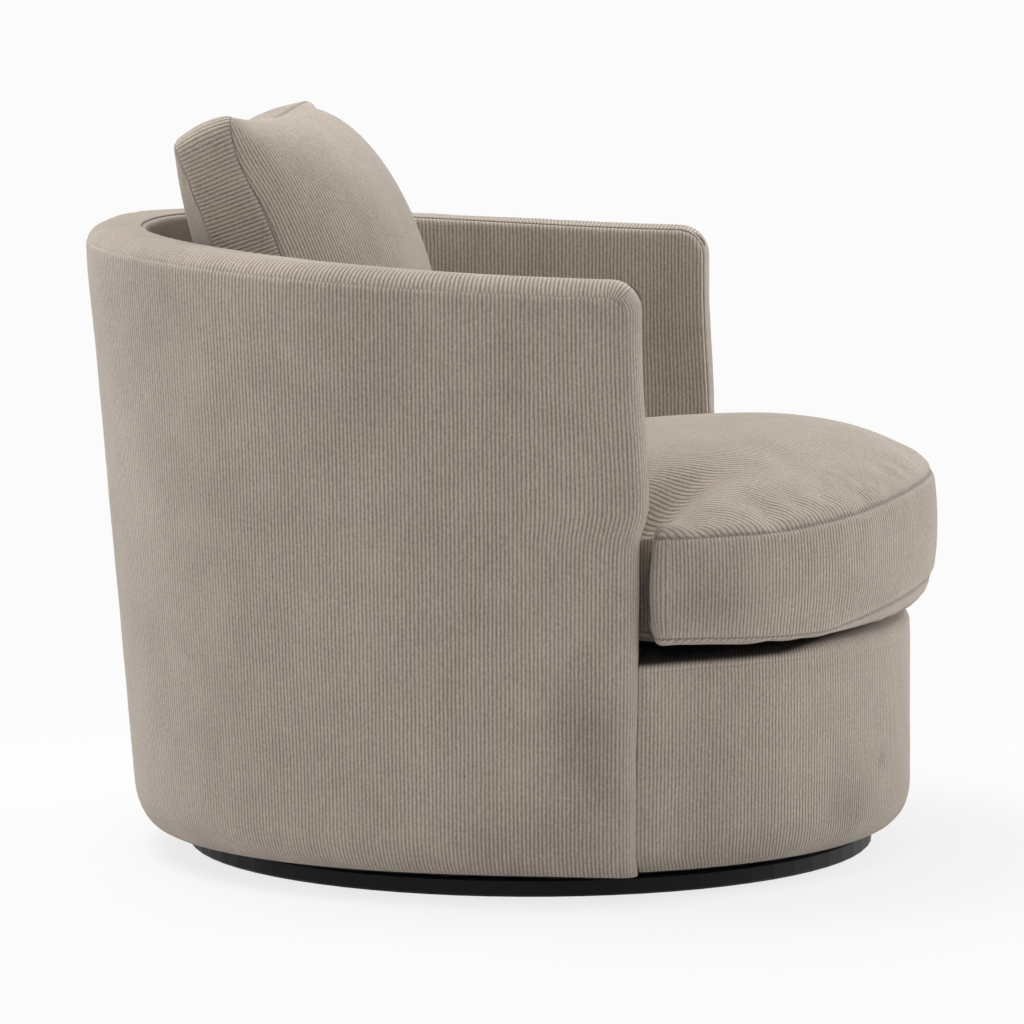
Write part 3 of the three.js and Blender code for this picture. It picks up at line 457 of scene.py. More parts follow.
def make_object(name, points, faces, uvs=None, seam=None, material=cord, body="barrel", slot="cord_fabric"):
    """A piece from its points and faces. uvs holds one pair for each corner of each face."""
    mesh = bpy.data.meshes.new(name)
    mesh.from_pydata([tuple(p) for p in points], [], [tuple(int(i) for i in f) for f in faces])
    if uvs is not None:
        layer = mesh.uv_layers.new(name="ribs")
        layer.data.foreach_set("uv", np.asarray(uvs, np.float32).ravel())
    if seam is not None:
        set_attribute(mesh, "seam", seam)
        set_attribute(mesh, "darker_spots", marks(np.asarray(points, float)))
    mesh.polygons.foreach_set("use_smooth", [True] * len(mesh.polygons))
    mesh.update()
    mesh.materials.append(material)
    piece = new_object(name, mesh)
    piece["body"] = body
    piece["slot"] = slot
    return piece


def grid_faces(index):
    """The four-cornered faces between the points of a grid, from the points' numbers."""
    return stack([index[:-1, :-1], index[1:, :-1], index[1:, 1:], index[:-1, 1:]], -1).reshape(-1, 4)


def grid_object(name, points, u, v, seam, flip=False, **options):
    """A piece from a grid of points, with its place in the cloth in u and v."""
    quads = grid_faces(arange(points[..., 0].size).reshape(points.shape[:2]))
    if flip:
        quads = quads[:, ::-1]
    uv = stack(np.broadcast_arrays(u, v), -1).reshape(-1, 2)
    return make_object(name, points.reshape(-1, 3), quads, uv[quads].reshape(-1, 2), seam, **options)


def edit(piece, change):
    """Makes a change to the piece's mesh."""
    work = bmesh.new()
    work.from_mesh(piece.data)
    change(work)
    work.to_mesh(piece.data)
    work.free()


def finish(piece, node, fill):
    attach(piece, piece["body"])
    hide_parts(node)


def wobble(points, layers):
    """A gentle unevenness at each point."""
    total = 0
    for size, scale, seed in layers:
        shift = Vector((seed, seed * 1.7, seed * 0.6))
        values = [noise.noise(Vector(p) * scale + shift) for p in points.reshape(-1, 3)]
        total = total + array(values).reshape(points.shape[:-1]) * size
    return total


def padding(rest, edge, stand, reach, layers, dent=0):
    """How far padded cloth stands out at points at these distances from its edges."""
    dents = dent * marks(rest.reshape(-1, 3)).reshape(edge.shape)
    return (stand + wobble(rest, layers) - dents) * smooth(edge / reach)


def unit(vectors):
    return vectors / norm(vectors, axis=-1, keepdims=True)


def leftward(along):
    """The directions square to the left of these, in plan."""
    return unit(stack([-along[:, 1], along[:, 0]], 1))


def run(line):
    """How far along a line each of its points is."""
    return join([[0], np.cumsum(norm(np.diff(line, axis=0), axis=1))])


# The barrel's surfaces


def lean(z):
    """How far the front of an arm stands back at a height."""
    reach = where(z > SWELL_Z, SWELL_ABOVE, SWELL_BELOW)
    return lerp(LEAN_FOOT, LEAN_RIM, z / RIM_Z) - SWELL * bell(z - SWELL_Z, reach)


def outer_inset(depth):
    """How far the rounded outer edge of the rim and of the arms' fronts has drawn in at a depth."""
    wide, deep = OUTER_ROUND
    return wide * rounding((deep - depth) / deep)


def half_width(z):
    return lerp(FLOOR_HALF, RIM_HALF, z / RIM_Z)


def back_y(z):
    return lerp(FLOOR_BACK, RIM_BACK, z / RIM_Z)


def rim_height(y):
    share = maximum(0, (y - ARM_FRONT) / (RIM_BACK - ARM_FRONT))
    return lerp(RIM_Z, BACK_RIM_Z, share**RIM_POWER)


CORNER_Z = rim_height(CORNER_Y) - CORNER


def lean_share(y):
    """How much of the lean an arm has at a place between its end and its front."""
    return minimum(1, (ARM_END - y) / (ARM_END - ARM_FRONT))


class Stations:
    """Places along the barrel, from the right arm's front round the back to the left arm's front."""

    def __init__(self, arm_ys, back_count):
        arm_ys = np.asarray(arm_ys, float)
        count = len(arm_ys)
        turns = np.pi * arange(1, back_count) / back_count
        straight = np.full(count, np.pi / 2)
        self.side = join([-np.ones(count), np.zeros(len(turns)), np.ones(count)])[:, None]
        self.y = join([arm_ys, np.zeros(len(turns)), arm_ys[::-1]])[:, None]
        self.turn = join([straight, turns, straight])[:, None]

    def points(self, z, inset):
        """The points at the heights and insets given for each station."""
        width = half_width(z) - inset
        reach = back_y(z) - ARM_END - inset
        cosine, sine = np.cos(self.turn), np.sin(self.turn)
        power = np.abs(cosine / width) ** ROUNDNESS + np.abs(sine / reach) ** ROUNDNESS
        radius = power ** (-1 / ROUNDNESS)
        straight = self.side != 0
        x = where(straight, self.side * width, -radius * cosine)
        y = where(straight, self.y + lean(z) * lean_share(self.y), ARM_END + radius * sine)
        return stack(np.broadcast_arrays(x, y, z), -1)

    def line(self, z, inset):
        """The line along the barrel at one height and inset."""
        return self.points(z, inset)[:, 0]

    def rim_z(self):
        return rim_height(self.line(RIM_Z, 0)[:, 1:2])

    def top_z(self, depth):
        """Height of the edge that follows the band at a depth under its face."""
        y = self.line(RIM_Z, 0)[:, 1:2]
        radius = CORNER - depth
        into = maximum(0, CORNER_Y - y)
        drop = radius - np.sqrt(maximum(0, radius**2 - into**2))
        return rim_height(maximum(y, CORNER_Y)) - depth - drop

    def lengths(self, z, inset):
        """Length along the barrel at each station."""
        return run(self.line(z, inset))[:, None]

    def face_depth(self, z):
        """How deep a place on the wall lies behind the arm's front or under the rim."""
        behind_front = where(self.side != 0, self.y - ARM_FRONT, FAR)
        in_corner = (self.side != 0) & (self.y < CORNER_Y) & (z > CORNER_Z)
        round_off = CORNER - np.hypot(self.y - ARM_FRONT - CORNER, z - CORNER_Z)
        return where(in_corner, round_off, minimum(behind_front, self.rim_z() - z))


NEAR_EDGE = array([0, 0.0006, 0.0013, 0.0021, 0.003, 0.0045, 0.0065, 0.011, 0.0167])
NEXT_TO_EDGE = 0.026
OUTSIDE_RIBS_Z, INSIDE_RIBS_Z = 0.35, 0.45  # heights at which the ribs are the right distance apart


def wall_stations(depth):
    """Stations from the seam with the band at a depth behind the arms' fronts."""
    start = ARM_FRONT + depth
    return Stations([*(start + NEAR_EDGE), *linspace(start + NEXT_TO_EDGE, ARM_END, 9)], 190)


def wall_rows(top_z, low_z, count):
    """Heights down a wall, close together under its top edge."""
    near = top_z - NEAR_EDGE
    return join([near, lerp(near[:, -1:], low_z, linspace(0, 1, count)[1:])], 1)


def skirt_line():
    """The turned-under edge, from the wall down, under and a little up inside: insets and heights."""
    angles = linspace(np.pi, np.pi * 1.5, 9)
    insets = [*(SKIRT_DEPTH * (1 + np.cos(angles))), *SKIRT_FLAT, SKIRT_UNDER, SKIRT_UNDER]
    heights = [*(SKIRT_Z + SKIRT_HEIGHT * (1 + np.sin(angles))), SKIRT_Z, SKIRT_Z, SKIRT_Z, SKIRT_INNER_Z]
    return array(insets), array(heights)


def at_seam(distance):
    """1 on a seam, and less beside it."""
    return 1 - smooth(distance / SEAM_REACH)


def normals_of(grid):
    """Unit normals of a grid of points."""
    return unit(np.cross(np.gradient(grid, axis=1), np.gradient(grid, axis=0)))


def make_outside():
    stations = wall_stations(BAND)
    z = wall_rows(stations.top_z(BAND), SKIRT_TOP, 46)
    edge = maximum(0, stations.face_depth(z) - BAND)
    count = len(z)
    stand = padding(stations.points(z, 0), edge, *OUTSIDE_PAD)
    inset = SOFT_DEPTH * at_seam(edge) - stand + outer_inset(edge + BAND)
    low_inset, low_z = (np.tile(line[1:], (count, 1)) for line in skirt_line())
    fade = maximum(0, 1 - arange(low_z.shape[1]) / SKIRT_FADE)
    insets = join([inset, low_inset + inset[:, -1:] * fade], 1)
    heights = join([z, low_z], 1)
    points = stations.points(heights, insets)
    u = stations.lengths(OUTSIDE_RIBS_Z, 0)
    steps = norm(np.diff(points, axis=1), axis=2)
    v = 1 - join([np.zeros((count, 1)), np.cumsum(steps, 1)], 1)
    front_edge = where(stations.side != 0, stations.y - ARM_FRONT - BAND, FAR)
    seam = join([edge, np.broadcast_to(front_edge, low_z.shape)], 1) + SOFT_SEAM
    finish(grid_object("outside_back_cover", points, u, v, seam), "outside_cover", 1.0)


def make_inside():
    stations = wall_stations(INNER_SEAM)
    z = wall_rows(stations.top_z(INNER_SEAM), DECK_LOW + 0.0004, 30)
    depth = stations.face_depth(z)
    edge = maximum(0, depth - INNER_SEAM)
    stand = padding(stations.points(z, WALL), edge, *INSIDE_PAD)
    points = stations.points(z, WALL - INNER_ROUND * rounding(1 - depth / INNER_ROUND) + stand)
    points -= normals_of(points) * SEAM_DEPTH * at_seam(edge)[..., None]
    u = stations.lengths(INSIDE_RIBS_Z, WALL)
    finish(grid_object("inside_back_cover", points, u, z, edge, flip=True), "inside_cover", 0.9)


def band_section():
    """The band's section as inset and depth, from its outer seam to its inner seam."""
    wide, deep = OUTER_ROUND
    flat = WALL - INNER_ROUND
    outer = linspace(math.asin(1 - BAND / deep), math.pi / 2, 12)
    inner = linspace(math.pi / 2, math.asin(1 - INNER_SEAM / INNER_ROUND), 7)[1:]
    found = [(wide * (1 - math.cos(a)), deep * (1 - math.sin(a))) for a in outer]
    found += [(lerp(wide, flat, share), 0.0) for share in linspace(0, 1, 9)[1:]]
    found += [(flat + INNER_ROUND * math.cos(a), INNER_ROUND * (1 - math.sin(a))) for a in inner]
    section = array(found)
    section[:, 1] -= BAND_CROWN * np.sin(math.pi * np.clip(section[:, 0] / flat, 0, 1)) ** 2
    # Both edges are drawn in at their seams
    far = run(section)
    drawn = SOFT_DEPTH * np.exp(-far / BAND_SEAM_REACH)
    drawn += SEAM_DEPTH * np.exp(-(far[-1] - far) / BAND_SEAM_REACH)
    return section + leftward(np.gradient(section, axis=0)) * drawn[:, None]


def skirt_inset(z):
    """How far the turned-under edge has drawn in at a height."""
    return SKIRT_DEPTH * rounding((SKIRT_TOP - z) / SKIRT_HEIGHT)


def make_band():
    """The band over the rim, with ribs across it, and down each arm's front, with ribs along it."""
    section = band_section()
    rows = len(section)
    outer_share = np.clip(1 - section[:, 0] / WALL, 0, 1)

    def ring(side, y, z):
        x = side * (half_width(z) - section[:, 0] - skirt_inset(z) * outer_share)
        return stack([x, y + lean(z) * lean_share(y), z], -1)

    def front(side):
        found = []
        low = SKIRT_Z + SKIRT_HEIGHT * (1 - np.sin(linspace(np.pi / 2, 0, 10)))
        for z in [*low, *linspace(SKIRT_TOP + 0.008, CORNER_Z, 48)]:
            found.append(ring(side, ARM_FRONT + section[:, 1], np.full(rows, z)))
        for angle in linspace(0, np.pi / 2, 13)[1:-1]:
            y = CORNER_Y - (CORNER - section[:, 1]) * np.cos(angle)
            z = CORNER_Z + (CORNER - section[:, 1]) * np.sin(angle)
            found.append(ring(side, y, z))
        return found

    right = front(-1)
    stations = Stations(linspace(CORNER_Y, ARM_END, 12), 200)
    rim = list(stations.points(stations.rim_z() - section[:, 1], section[:, 0]))
    points = array(right + rim + front(1)[::-1])
    across = run(section)
    grid_u, grid_v = np.meshgrid(run(points[:, rows // 2]), across, indexing="ij")
    seam = minimum(grid_v + SOFT_SEAM, across[-1] - grid_v)
    edge = minimum(grid_v, across[-1] - grid_v)
    points = points + normals_of(points) * padding(points, edge, *BAND_PAD)[..., None]
    # The ribs turn halfway round each corner, so the band is three strips in the cloth
    mitre = len(right) - 6
    last = len(points) - mitre
    corners, faces, pairs, seams, first = [], [], [], [], 0
    strips = ((0, mitre + 1, True), (mitre, last, False), (last - 1, len(points), True))
    for start, stop, lengthwise in strips:
        quads = grid_faces(first + arange((stop - start) * rows).reshape(stop - start, rows).T)
        pair = [grid_u[start:stop], grid_v[start:stop]]
        uv = stack(pair[::-1] if lengthwise else pair, -1).reshape(-1, 2)
        corners.append(points[start:stop].reshape(-1, 3))
        faces.append(quads)
        pairs.append(uv[quads - first].reshape(-1, 2))
        seams.append(seam[start:stop].reshape(-1))
        first += len(corners[-1])
    piece = make_object("rim_and_arm_band", *map(join, (corners, faces, pairs, seams)))
    # The strips' points are joined, so that the shading runs on from one to the next
    edit(piece, lambda work: bmesh.ops.remove_doubles(work, verts=work.verts, dist=1e-6))
    finish(piece, "top_band", 1.0)


def rail_section():
    """The rail's radii and heights, from its foot up its face, over its rolled edge and to the deck."""
    skirt_insets, skirt_heights = skirt_line()
    face = linspace(SKIRT_TOP, RAIL_SEAM_Z - 0.008, 16)[1:]
    near = [RAIL_SEAM_Z + step for step in RAIL_SEAM_ROWS]
    angles = linspace(0, np.pi / 2, 10)
    shares = linspace(0.07, 1, 14)
    wide, deep = RAIL_ROUND
    radii = [*(RAIL - skirt_insets[::-1]), *[RAIL] * (len(face) + len(near))]
    radii += [*(RAIL - wide + wide * np.cos(angles)), *lerp(RAIL - wide, RAIL - RAIL_ROLL, shares)]
    heights = [*skirt_heights[::-1], *face, *near, *(RAIL_ROLL_Z + deep * np.sin(angles))]
    heights += [*(DECK_Z - RAIL_RISE * (1 - shares[:-1])), *(DECK_Z - array(RAIL_TUCK))]
    return array([*radii, RAIL - RAIL_ROLL]), array(heights)


def make_rail():
    """The rounded front rail: turned under at its foot, rolled over at its top."""
    radii, heights = rail_section()
    v = run(stack([radii, heights], 1))
    end_y = ARM_FRONT + lean(heights) - BAND_CROWN - RAIL_END_GAP
    on_face = smooth((radii - (RAIL - FACE_START)) / FACE_REACH)
    flare = RAIL_FLARE * on_face
    end = np.arcsin(end_y / (radii + flare))
    arc = (np.pi + 2 * end) * RAIL
    near_ends = NEAR_EDGE / arc.mean()
    shares = join([near_ends, linspace(0.03, 0.97, 120), 1 - near_ends[::-1]])
    angle = lerp(-np.pi - end, end, shares[:, None])
    to_end = minimum(shares, 1 - shares)[:, None] * arc
    to_seam = np.abs(heights - RAIL_SEAM_Z) + where(radii < RAIL - 0.0005, FAR, 0.0)
    seam = minimum(to_end, to_seam)

    def placed(radius):
        return stack(np.broadcast_arrays(radius * np.cos(angle), radius * np.sin(angle), heights), -1)

    stand = padding(placed(radii), seam, *RAIL_PAD) * on_face
    flared = flare * bell(to_end, FLARE_REACH)
    points = placed(radii - SOFT_DEPTH * at_seam(seam) + stand + flared)
    u = shares[:, None] * arc.mean()
    piece = grid_object("front_rail_roll", points, u, v, seam + SOFT_SEAM, material=rail_cord_painted_shade)
    # Painted shade: the roll's cord is painted darker from the seam towards the deck, where the seat cushion
    # overhangs it
    over_seam = v - v[np.argmin(np.abs(heights - RAIL_SEAM_Z))]
    at_front = smooth((-np.sin(angle) - PAINTED_SHADE_FROM) / (1 - PAINTED_SHADE_FROM))
    dark = smooth((over_seam - lerp(*PAINTED_SHADE_START, at_front)) / lerp(*PAINTED_SHADE_REACH, at_front))
    set_attribute(piece.data, "dark", dark)
    finish(piece, "front_rail_cover", 1.0)


# Flat pieces under the seat


def inner_outline(z, inset, front_y, count=70):
    """The barrel's inside in plan from the left arm's front round the back to the right arm's front."""
    return Stations(linspace(front_y, ARM_END, 10), count).line(z, inset)[::-1, :2]


def on_circle(radius, angles):
    return stack([radius * np.cos(angles), radius * np.sin(angles)], 1)


def front_arc(radius, end_y, count=60):
    end = math.asin(end_y / radius)
    return on_circle(radius, linspace(-np.pi - end, end, count))


def offsets(outline):
    """The inward direction at each point of an outline that runs anticlockwise."""
    return leftward(np.roll(outline, -1, 0) - np.roll(outline, 1, 0))


def fill_outline(outline, spacing, near=()):
    """Points and triangles that fill an outline: its own points first, then rings at the depths in near."""
    reach = max(near, default=0) + spacing * 0.55
    low, high = outline.min(0), outline.max(0)
    rows = arange(low[1], high[1], spacing * 0.866)
    inside = []
    start, stop = outline, np.roll(outline, -1, 0)
    for row, y in enumerate(rows):
        crossing = (start[:, 1] > y) != (stop[:, 1] > y)
        with np.errstate(divide="ignore", invalid="ignore"):
            at = start[:, 0] + (y - start[:, 1]) * (stop[:, 0] - start[:, 0]) / (stop[:, 1] - start[:, 1])
        for x in arange(low[0] + (row % 2) * spacing / 2, high[0], spacing):
            within = np.count_nonzero(crossing & (x < at)) % 2
            if within and from_edge(array([[x, y]]), outline)[0] > reach:
                inside.append((x, y))
    rings = [outline + offsets(outline) * depth for depth in near]
    everything = [Vector(p) for p in join([outline, *rings, array(inside)])]
    count = len(outline)
    found = delaunay_2d_cdt(everything, [], [list(range(count))], 1, 1e-7)
    points = array([tuple(p) for p in found[0]])
    faces = array([list(f) for f in found[2]])
    assert np.allclose(points[:count], outline, atol=1e-6), "the outline's points lost their order"
    a, b, c = (points[faces[:, k]] for k in range(3))
    area = (b[:, 0] - a[:, 0]) * (c[:, 1] - a[:, 1]) - (b[:, 1] - a[:, 1]) * (c[:, 0] - a[:, 0])
    faces[area < 0] = faces[area < 0][:, ::-1]
    return points, faces


def from_edge(points, outline):
    """Distance from each point to an outline."""
    start = outline[None]
    along = np.roll(outline, -1, 0)[None] - start
    share = ((points[:, None] - start) * along).sum(2) / (along**2).sum(2)
    closest = start + along * np.clip(share, 0, 1)[..., None]
    return norm(closest - points[:, None], axis=2).min(1)


def evened(outline, spacing):
    """An outline's points set at even distances."""
    line = join([outline, outline[:1]])
    far = run(line)
    places = linspace(0, far[-1], int(round(far[-1] / spacing)) + 1)[:-1]
    return stack([np.interp(places, far, line[:, k]) for k in range(2)], 1)


def make_deck():
    arc = front_arc(RAIL - RAIL_ROLL - DECK_GAP, ARM_FRONT + lean(DECK_LOW))
    outline = evened(join([arc, inner_outline(DECK_LOW, WALL + DECK_GAP, ARM_FRONT)]), 0.012)
    points, faces = fill_outline(outline, 0.02)
    count, rim = len(points), len(outline)
    drop = DECK_EDGE_DROP * (1 - smooth(from_edge(points, outline) / DECK_EDGE_REACH))
    flat = np.c_[points, np.zeros(count)]
    high = DECK_Z - 0.0001 - drop - np.abs(wobble(flat, DECK_UNEVEN))
    everything = join([np.c_[points, high], np.c_[outline, np.full(rim, DECK_LOW)]])
    ring = arange(rim)
    side = stack([ring, count + ring, count + np.roll(ring, -1), np.roll(ring, -1)], 1)
    piece = make_object("seat_deck_pad", everything, [*faces, *side], material=deck_cloth, slot="deck_cloth")
    finish(piece, "deck", 1.0)


def make_dust_cover():
    """The thin black lining under the seat, stretched from the covers' edge to a ring round the bearing."""
    low, depth, hole, inset = 0.0274, 0.0008, 0.168, 0.022
    pulls, pulled, fading = 47, 0.0003, 9  # by its staples: their number, how high, and how fast that fades
    arc = front_arc(RAIL - inset, ARM_FRONT + LEAN_FOOT)
    outline = evened(join([arc, inner_outline(low, inset, ARM_FRONT + BAND)]), 0.010)
    angles = np.arctan2(outline[:, 1], outline[:, 0])
    shares = linspace(0, 1, 14)
    top = array([lerp(outline, on_circle(hole, angles), s) for s in shares])
    pull = np.sin(angles * pulls)[None] * pulled * np.exp(-shares * fading)[:, None]
    flat = join([top, np.zeros((*top.shape[:2], 1))], 2)
    sag = pull + wobble(flat, LINING_UNEVEN)
    ring = len(outline)
    middle, half = low + depth / 2, depth / 2
    levels = [join([top, (middle + side * half + sag)[..., None]], 2) for side in (1, -1)]
    points = join([level.reshape(-1, 3) for level in levels])
    shift = len(shares) * ring
    index = arange(shift).reshape(len(shares), ring)
    after = np.roll(index, -1, 1)
    quads = stack([index[:-1], after[:-1], after[1:], index[1:]], -1).reshape(-1, 4)
    edges = [
        stack([index[k], index[k] + shift, after[k] + shift, after[k]], -1)[:, ::order]
        for k, order in ((0, 1), (-1, -1))
    ]
    faces = join([quads, quads[:, ::-1] + shift, *edges])
    piece = make_object("under_seat_lining", points, faces, material=black_cloth, slot="dust_cloth")
    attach(piece, "barrel")
    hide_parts("dust_cover")


# Cushions


def laid_over(flat, height, outline):
    """The cloth map of a swollen face, measured over the face, so that its ribs stay evenly apart."""
    x = flat[:, :1] * linspace(0, 1, 15)
    y = np.broadcast_to(flat[:, 1:], x.shape)
    line = stack([x, y], -1).reshape(-1, 2)
    z = height(line, from_edge(line, outline)).reshape(x.shape)
    far = np.hypot(np.diff(x, axis=1), np.diff(z, axis=1)).sum(1)
    return np.c_[np.sign(flat[:, 0]) * far, flat[:, 1]]


def cushion_mesh(outline, spacing, rows, low, high, bulge, evenly=False):
    """A boxed cushion's points, faces, cloth map and seams.

    low and high give its faces' heights over points, and bulge how far the boxing swells."""
    flat, faces = fill_outline(outline, spacing, SEAM_ROWS)
    count, ring = len(flat), len(outline)
    distance = from_edge(flat, outline)
    distance[:ring] = 0
    top = np.c_[flat, high(flat, distance)]
    under = np.c_[flat, low(flat, distance)]
    outward = -offsets(outline)
    first, last = BOX_SEAM_ROWS
    shares = join([[first], lerp(*BOX_ROWS, linspace(0, 1, rows - 3)), [last]])
    boxing = []
    for share in shares:
        plan = outline + outward * (bulge * math.sin(math.pi * share) ** 0.8)[:, None]
        boxing.append(np.c_[plan, lerp(under[:ring, 2], top[:ring, 2], share)])
    points = join([top, under, *boxing])
    around = arange(ring)
    levels = [count + around, *(2 * count + k * ring + around for k in range(rows - 1)), around]
    far = run(join([outline, outline[:1]]))
    tall = top[:ring, 2] - under[:ring, 2]
    steps = [0, *shares, 1]
    u0, u1 = far[:-1], far[1:]
    quads, quad_uvs = [], []
    for a, b, v0, v1 in zip(levels, levels[1:], steps, steps[1:]):
        quads += list(stack([a, np.roll(a, -1), np.roll(b, -1), b], 1))
        v0, v1 = v0 * tall, v1 * tall
        quad_uvs += list(stack([u0, v0, u1, v0, u1, v1, u0, v1], 1).reshape(-1, 2))
    turned = faces[:, ::-1]
    everything = [*faces, *(turned + count), *quads]
    over, beneath = (laid_over(flat, side, outline) for side in (high, low)) if evenly else (flat, flat)
    uvs = join([over[faces].reshape(-1, 2), beneath[turned].reshape(-1, 2), array(quad_uvs)])
    seam = join([distance, distance, *(minimum(s, 1 - s) * tall for s in shares)])
    return points, everything, uvs, seam


def read(data, key, width):
    """One value or vector for each entry of some mesh data."""
    found = np.empty(len(data) * width)
    data.foreach_get(key, found)
    return found.reshape(-1, width)


def get_points(piece):
    return read(piece.data.vertices, "co", 3)


def evaluated(piece):
    return piece.evaluated_get(bpy.context.evaluated_depsgraph_get())


def set_points(piece, points):
    piece.data.vertices.foreach_set("co", np.asarray(points, np.float32).ravel())
    piece.data.update()


def inflate(piece, seam, cap):
    """Blows the cloth up from within and keeps the shape, with no point moved further than the cap."""
    start = get_points(piece)
    group = piece.vertex_groups.new(name="held")
    for index, weight in enumerate(SEAM_HOLD * bell(seam, HOLD_REACH)):
        if weight > 0.01:
            group.add([index], float(weight), "REPLACE")
    cloth = piece.modifiers.new("cloth", "CLOTH")
    for key, value in CLOTH.items():
        setattr(cloth.settings, key, value)
    cloth.settings.effector_weights.gravity = 0
    cloth.collision_settings.use_self_collision = False
    cloth.point_cache.frame_start = 1
    cloth.point_cache.frame_end = FRAMES
    for number in range(1, FRAMES + 1):
        scene.frame_set(number)
    move = get_points(evaluated(piece)) - start
    piece.modifiers.remove(cloth)
    piece.vertex_groups.clear()
    scene.frame_set(1)
    far = norm(move, axis=1, keepdims=True)
    set_points(piece, start + move * minimum(1, np.reshape(cap, (-1, 1)) / maximum(far, 1e-9)))


def even_out(piece, chosen):
    """Takes the ridges out of the chosen part of a cushion."""

    def change(work):
        spots = [spot for spot, part in zip(work.verts, chosen) if part]
        for _ in range(EVEN_TIMES):
            bmesh.ops.smooth_vert(work, verts=spots, factor=0.5, use_axis_z=True)

    edit(piece, change)


def subdivide(piece):
    """Subdivides the piece once and keeps the finer mesh."""
    modifier = piece.modifiers.new("fine", "SUBSURF")
    modifier.levels = modifier.render_levels = 1
    modifier.boundary_smooth = "ALL"
    bpy.context.view_layer.update()
    finer = bpy.data.meshes.new_from_object(evaluated(piece))
    piece.modifiers.remove(modifier)
    piece.data = finer
    finer.polygons.foreach_set("use_smooth", [True] * len(finer.polygons))


def draw_seams(piece, pucker):
    """Draws the seams in, and gathers the cloth a little beside them."""
    points = get_points(piece)
    seam = read(piece.data.attributes["seam"].data, "value", 1)[:, 0]
    gather = wobble(points, ((pucker, GATHER_SCALE, GATHER_SEED),))
    gather = gather * seam / GATHER_REACH * np.exp(1 - seam / GATHER_REACH)
    drawn = SEAM_DEPTH * bell(seam, DRAWN_REACH)
    set_points(piece, points + read(piece.data.vertex_normals, "vector", 3) * (gather - drawn)[:, None])


def inside_wall(points):
    """Moves points that pass the inside of the barrel back in."""
    x, y, z = points.T
    low = minimum(z, BACK_RIM_Z)
    width = half_width(low) - WALL - WALL_CLEAR
    reach = back_y(low) - ARM_END - WALL - WALL_CLEAR
    power = (np.abs(x) / width) ** ROUNDNESS + (maximum(0, y - ARM_END) / reach) ** ROUNDNESS
    past = (power > 1) & (y > ARM_FRONT - CLEAR_EDGE) & (z < rim_height(y) + CLEAR_EDGE)
    over = where(past, power ** (1 / ROUNDNESS), 1.0)
    points[:, 0] = x / over
    points[:, 1] = where(y > ARM_END, ARM_END + (y - ARM_END) / over, y)
    return points


def clear_of_arms(points):
    """Moves points that pass into an arm's front or its inner side back out by the shorter way."""
    x, y, z = points.T
    front_y = ARM_FRONT - BAND_CROWN + lean(z) - ARM_CLEAR
    side_x = half_width(z) - WALL - ARM_CLEAR
    past_front, past_side = y - front_y, np.abs(x) - side_x
    inside = (past_front > 0) & (past_side > 0) & (z < RIM_Z + ARM_CLEAR)
    by_front = inside & (past_front < past_side)
    points[by_front, 1] = front_y[by_front]
    by_side = inside & ~by_front
    points[by_side, 0] = (np.sign(x) * side_x)[by_side]
    return points


def seat_outline():
    inset = WALL + SEAT_SIDE_GAP
    ear_x = math.sqrt(SEAT_RADIUS**2 - SEAT_EAR**2) - SEAT_EAR_ROUND
    ear_y = SEAT_EAR - SEAT_EAR_ROUND
    start = math.atan2(ear_y, ear_x + SEAT_EAR_ROUND)
    front = on_circle(SEAT_RADIUS, linspace(-np.pi - start, start, 90))
    ear = on_circle(SEAT_EAR_ROUND, linspace(0, np.pi / 2, 8)[1:]) + [ear_x, ear_y]
    side = array([[float(half_width(DECK_Z)) - inset, SEAT_EAR]])
    back = inner_outline(DECK_Z, inset, ARM_END, 80)
    mirrored = join([ear, side])[::-1] * [-1, 1]
    return join([front, ear, side, back, mirrored])


def fullness(distance, reach, power):
    share = 1 - minimum(distance / reach, 1)
    return maximum(0, 1 - share**2) ** power


def risen(front, height, start, over, power):
    return height * maximum(0, (front - start) / over) ** power


def crease(points):
    """The crease that runs into the seat's top from each notch, inside the round front."""
    place = stack([np.abs(points[:, 0]), points[:, 1]], 1)
    start = array(CREASE_START)
    along = array(CREASE_END) - start
    share = np.clip(((place - start) * along).sum(1) / (along**2).sum(), 0, 1)
    aside = norm(place - start - share[:, None] * along, axis=1)
    depth = where(points[:, 0] < 0, CREASE_NEAR, CREASE_FAR)
    return depth * smooth(1 - share) * bell(aside, CREASE_WIDTH)


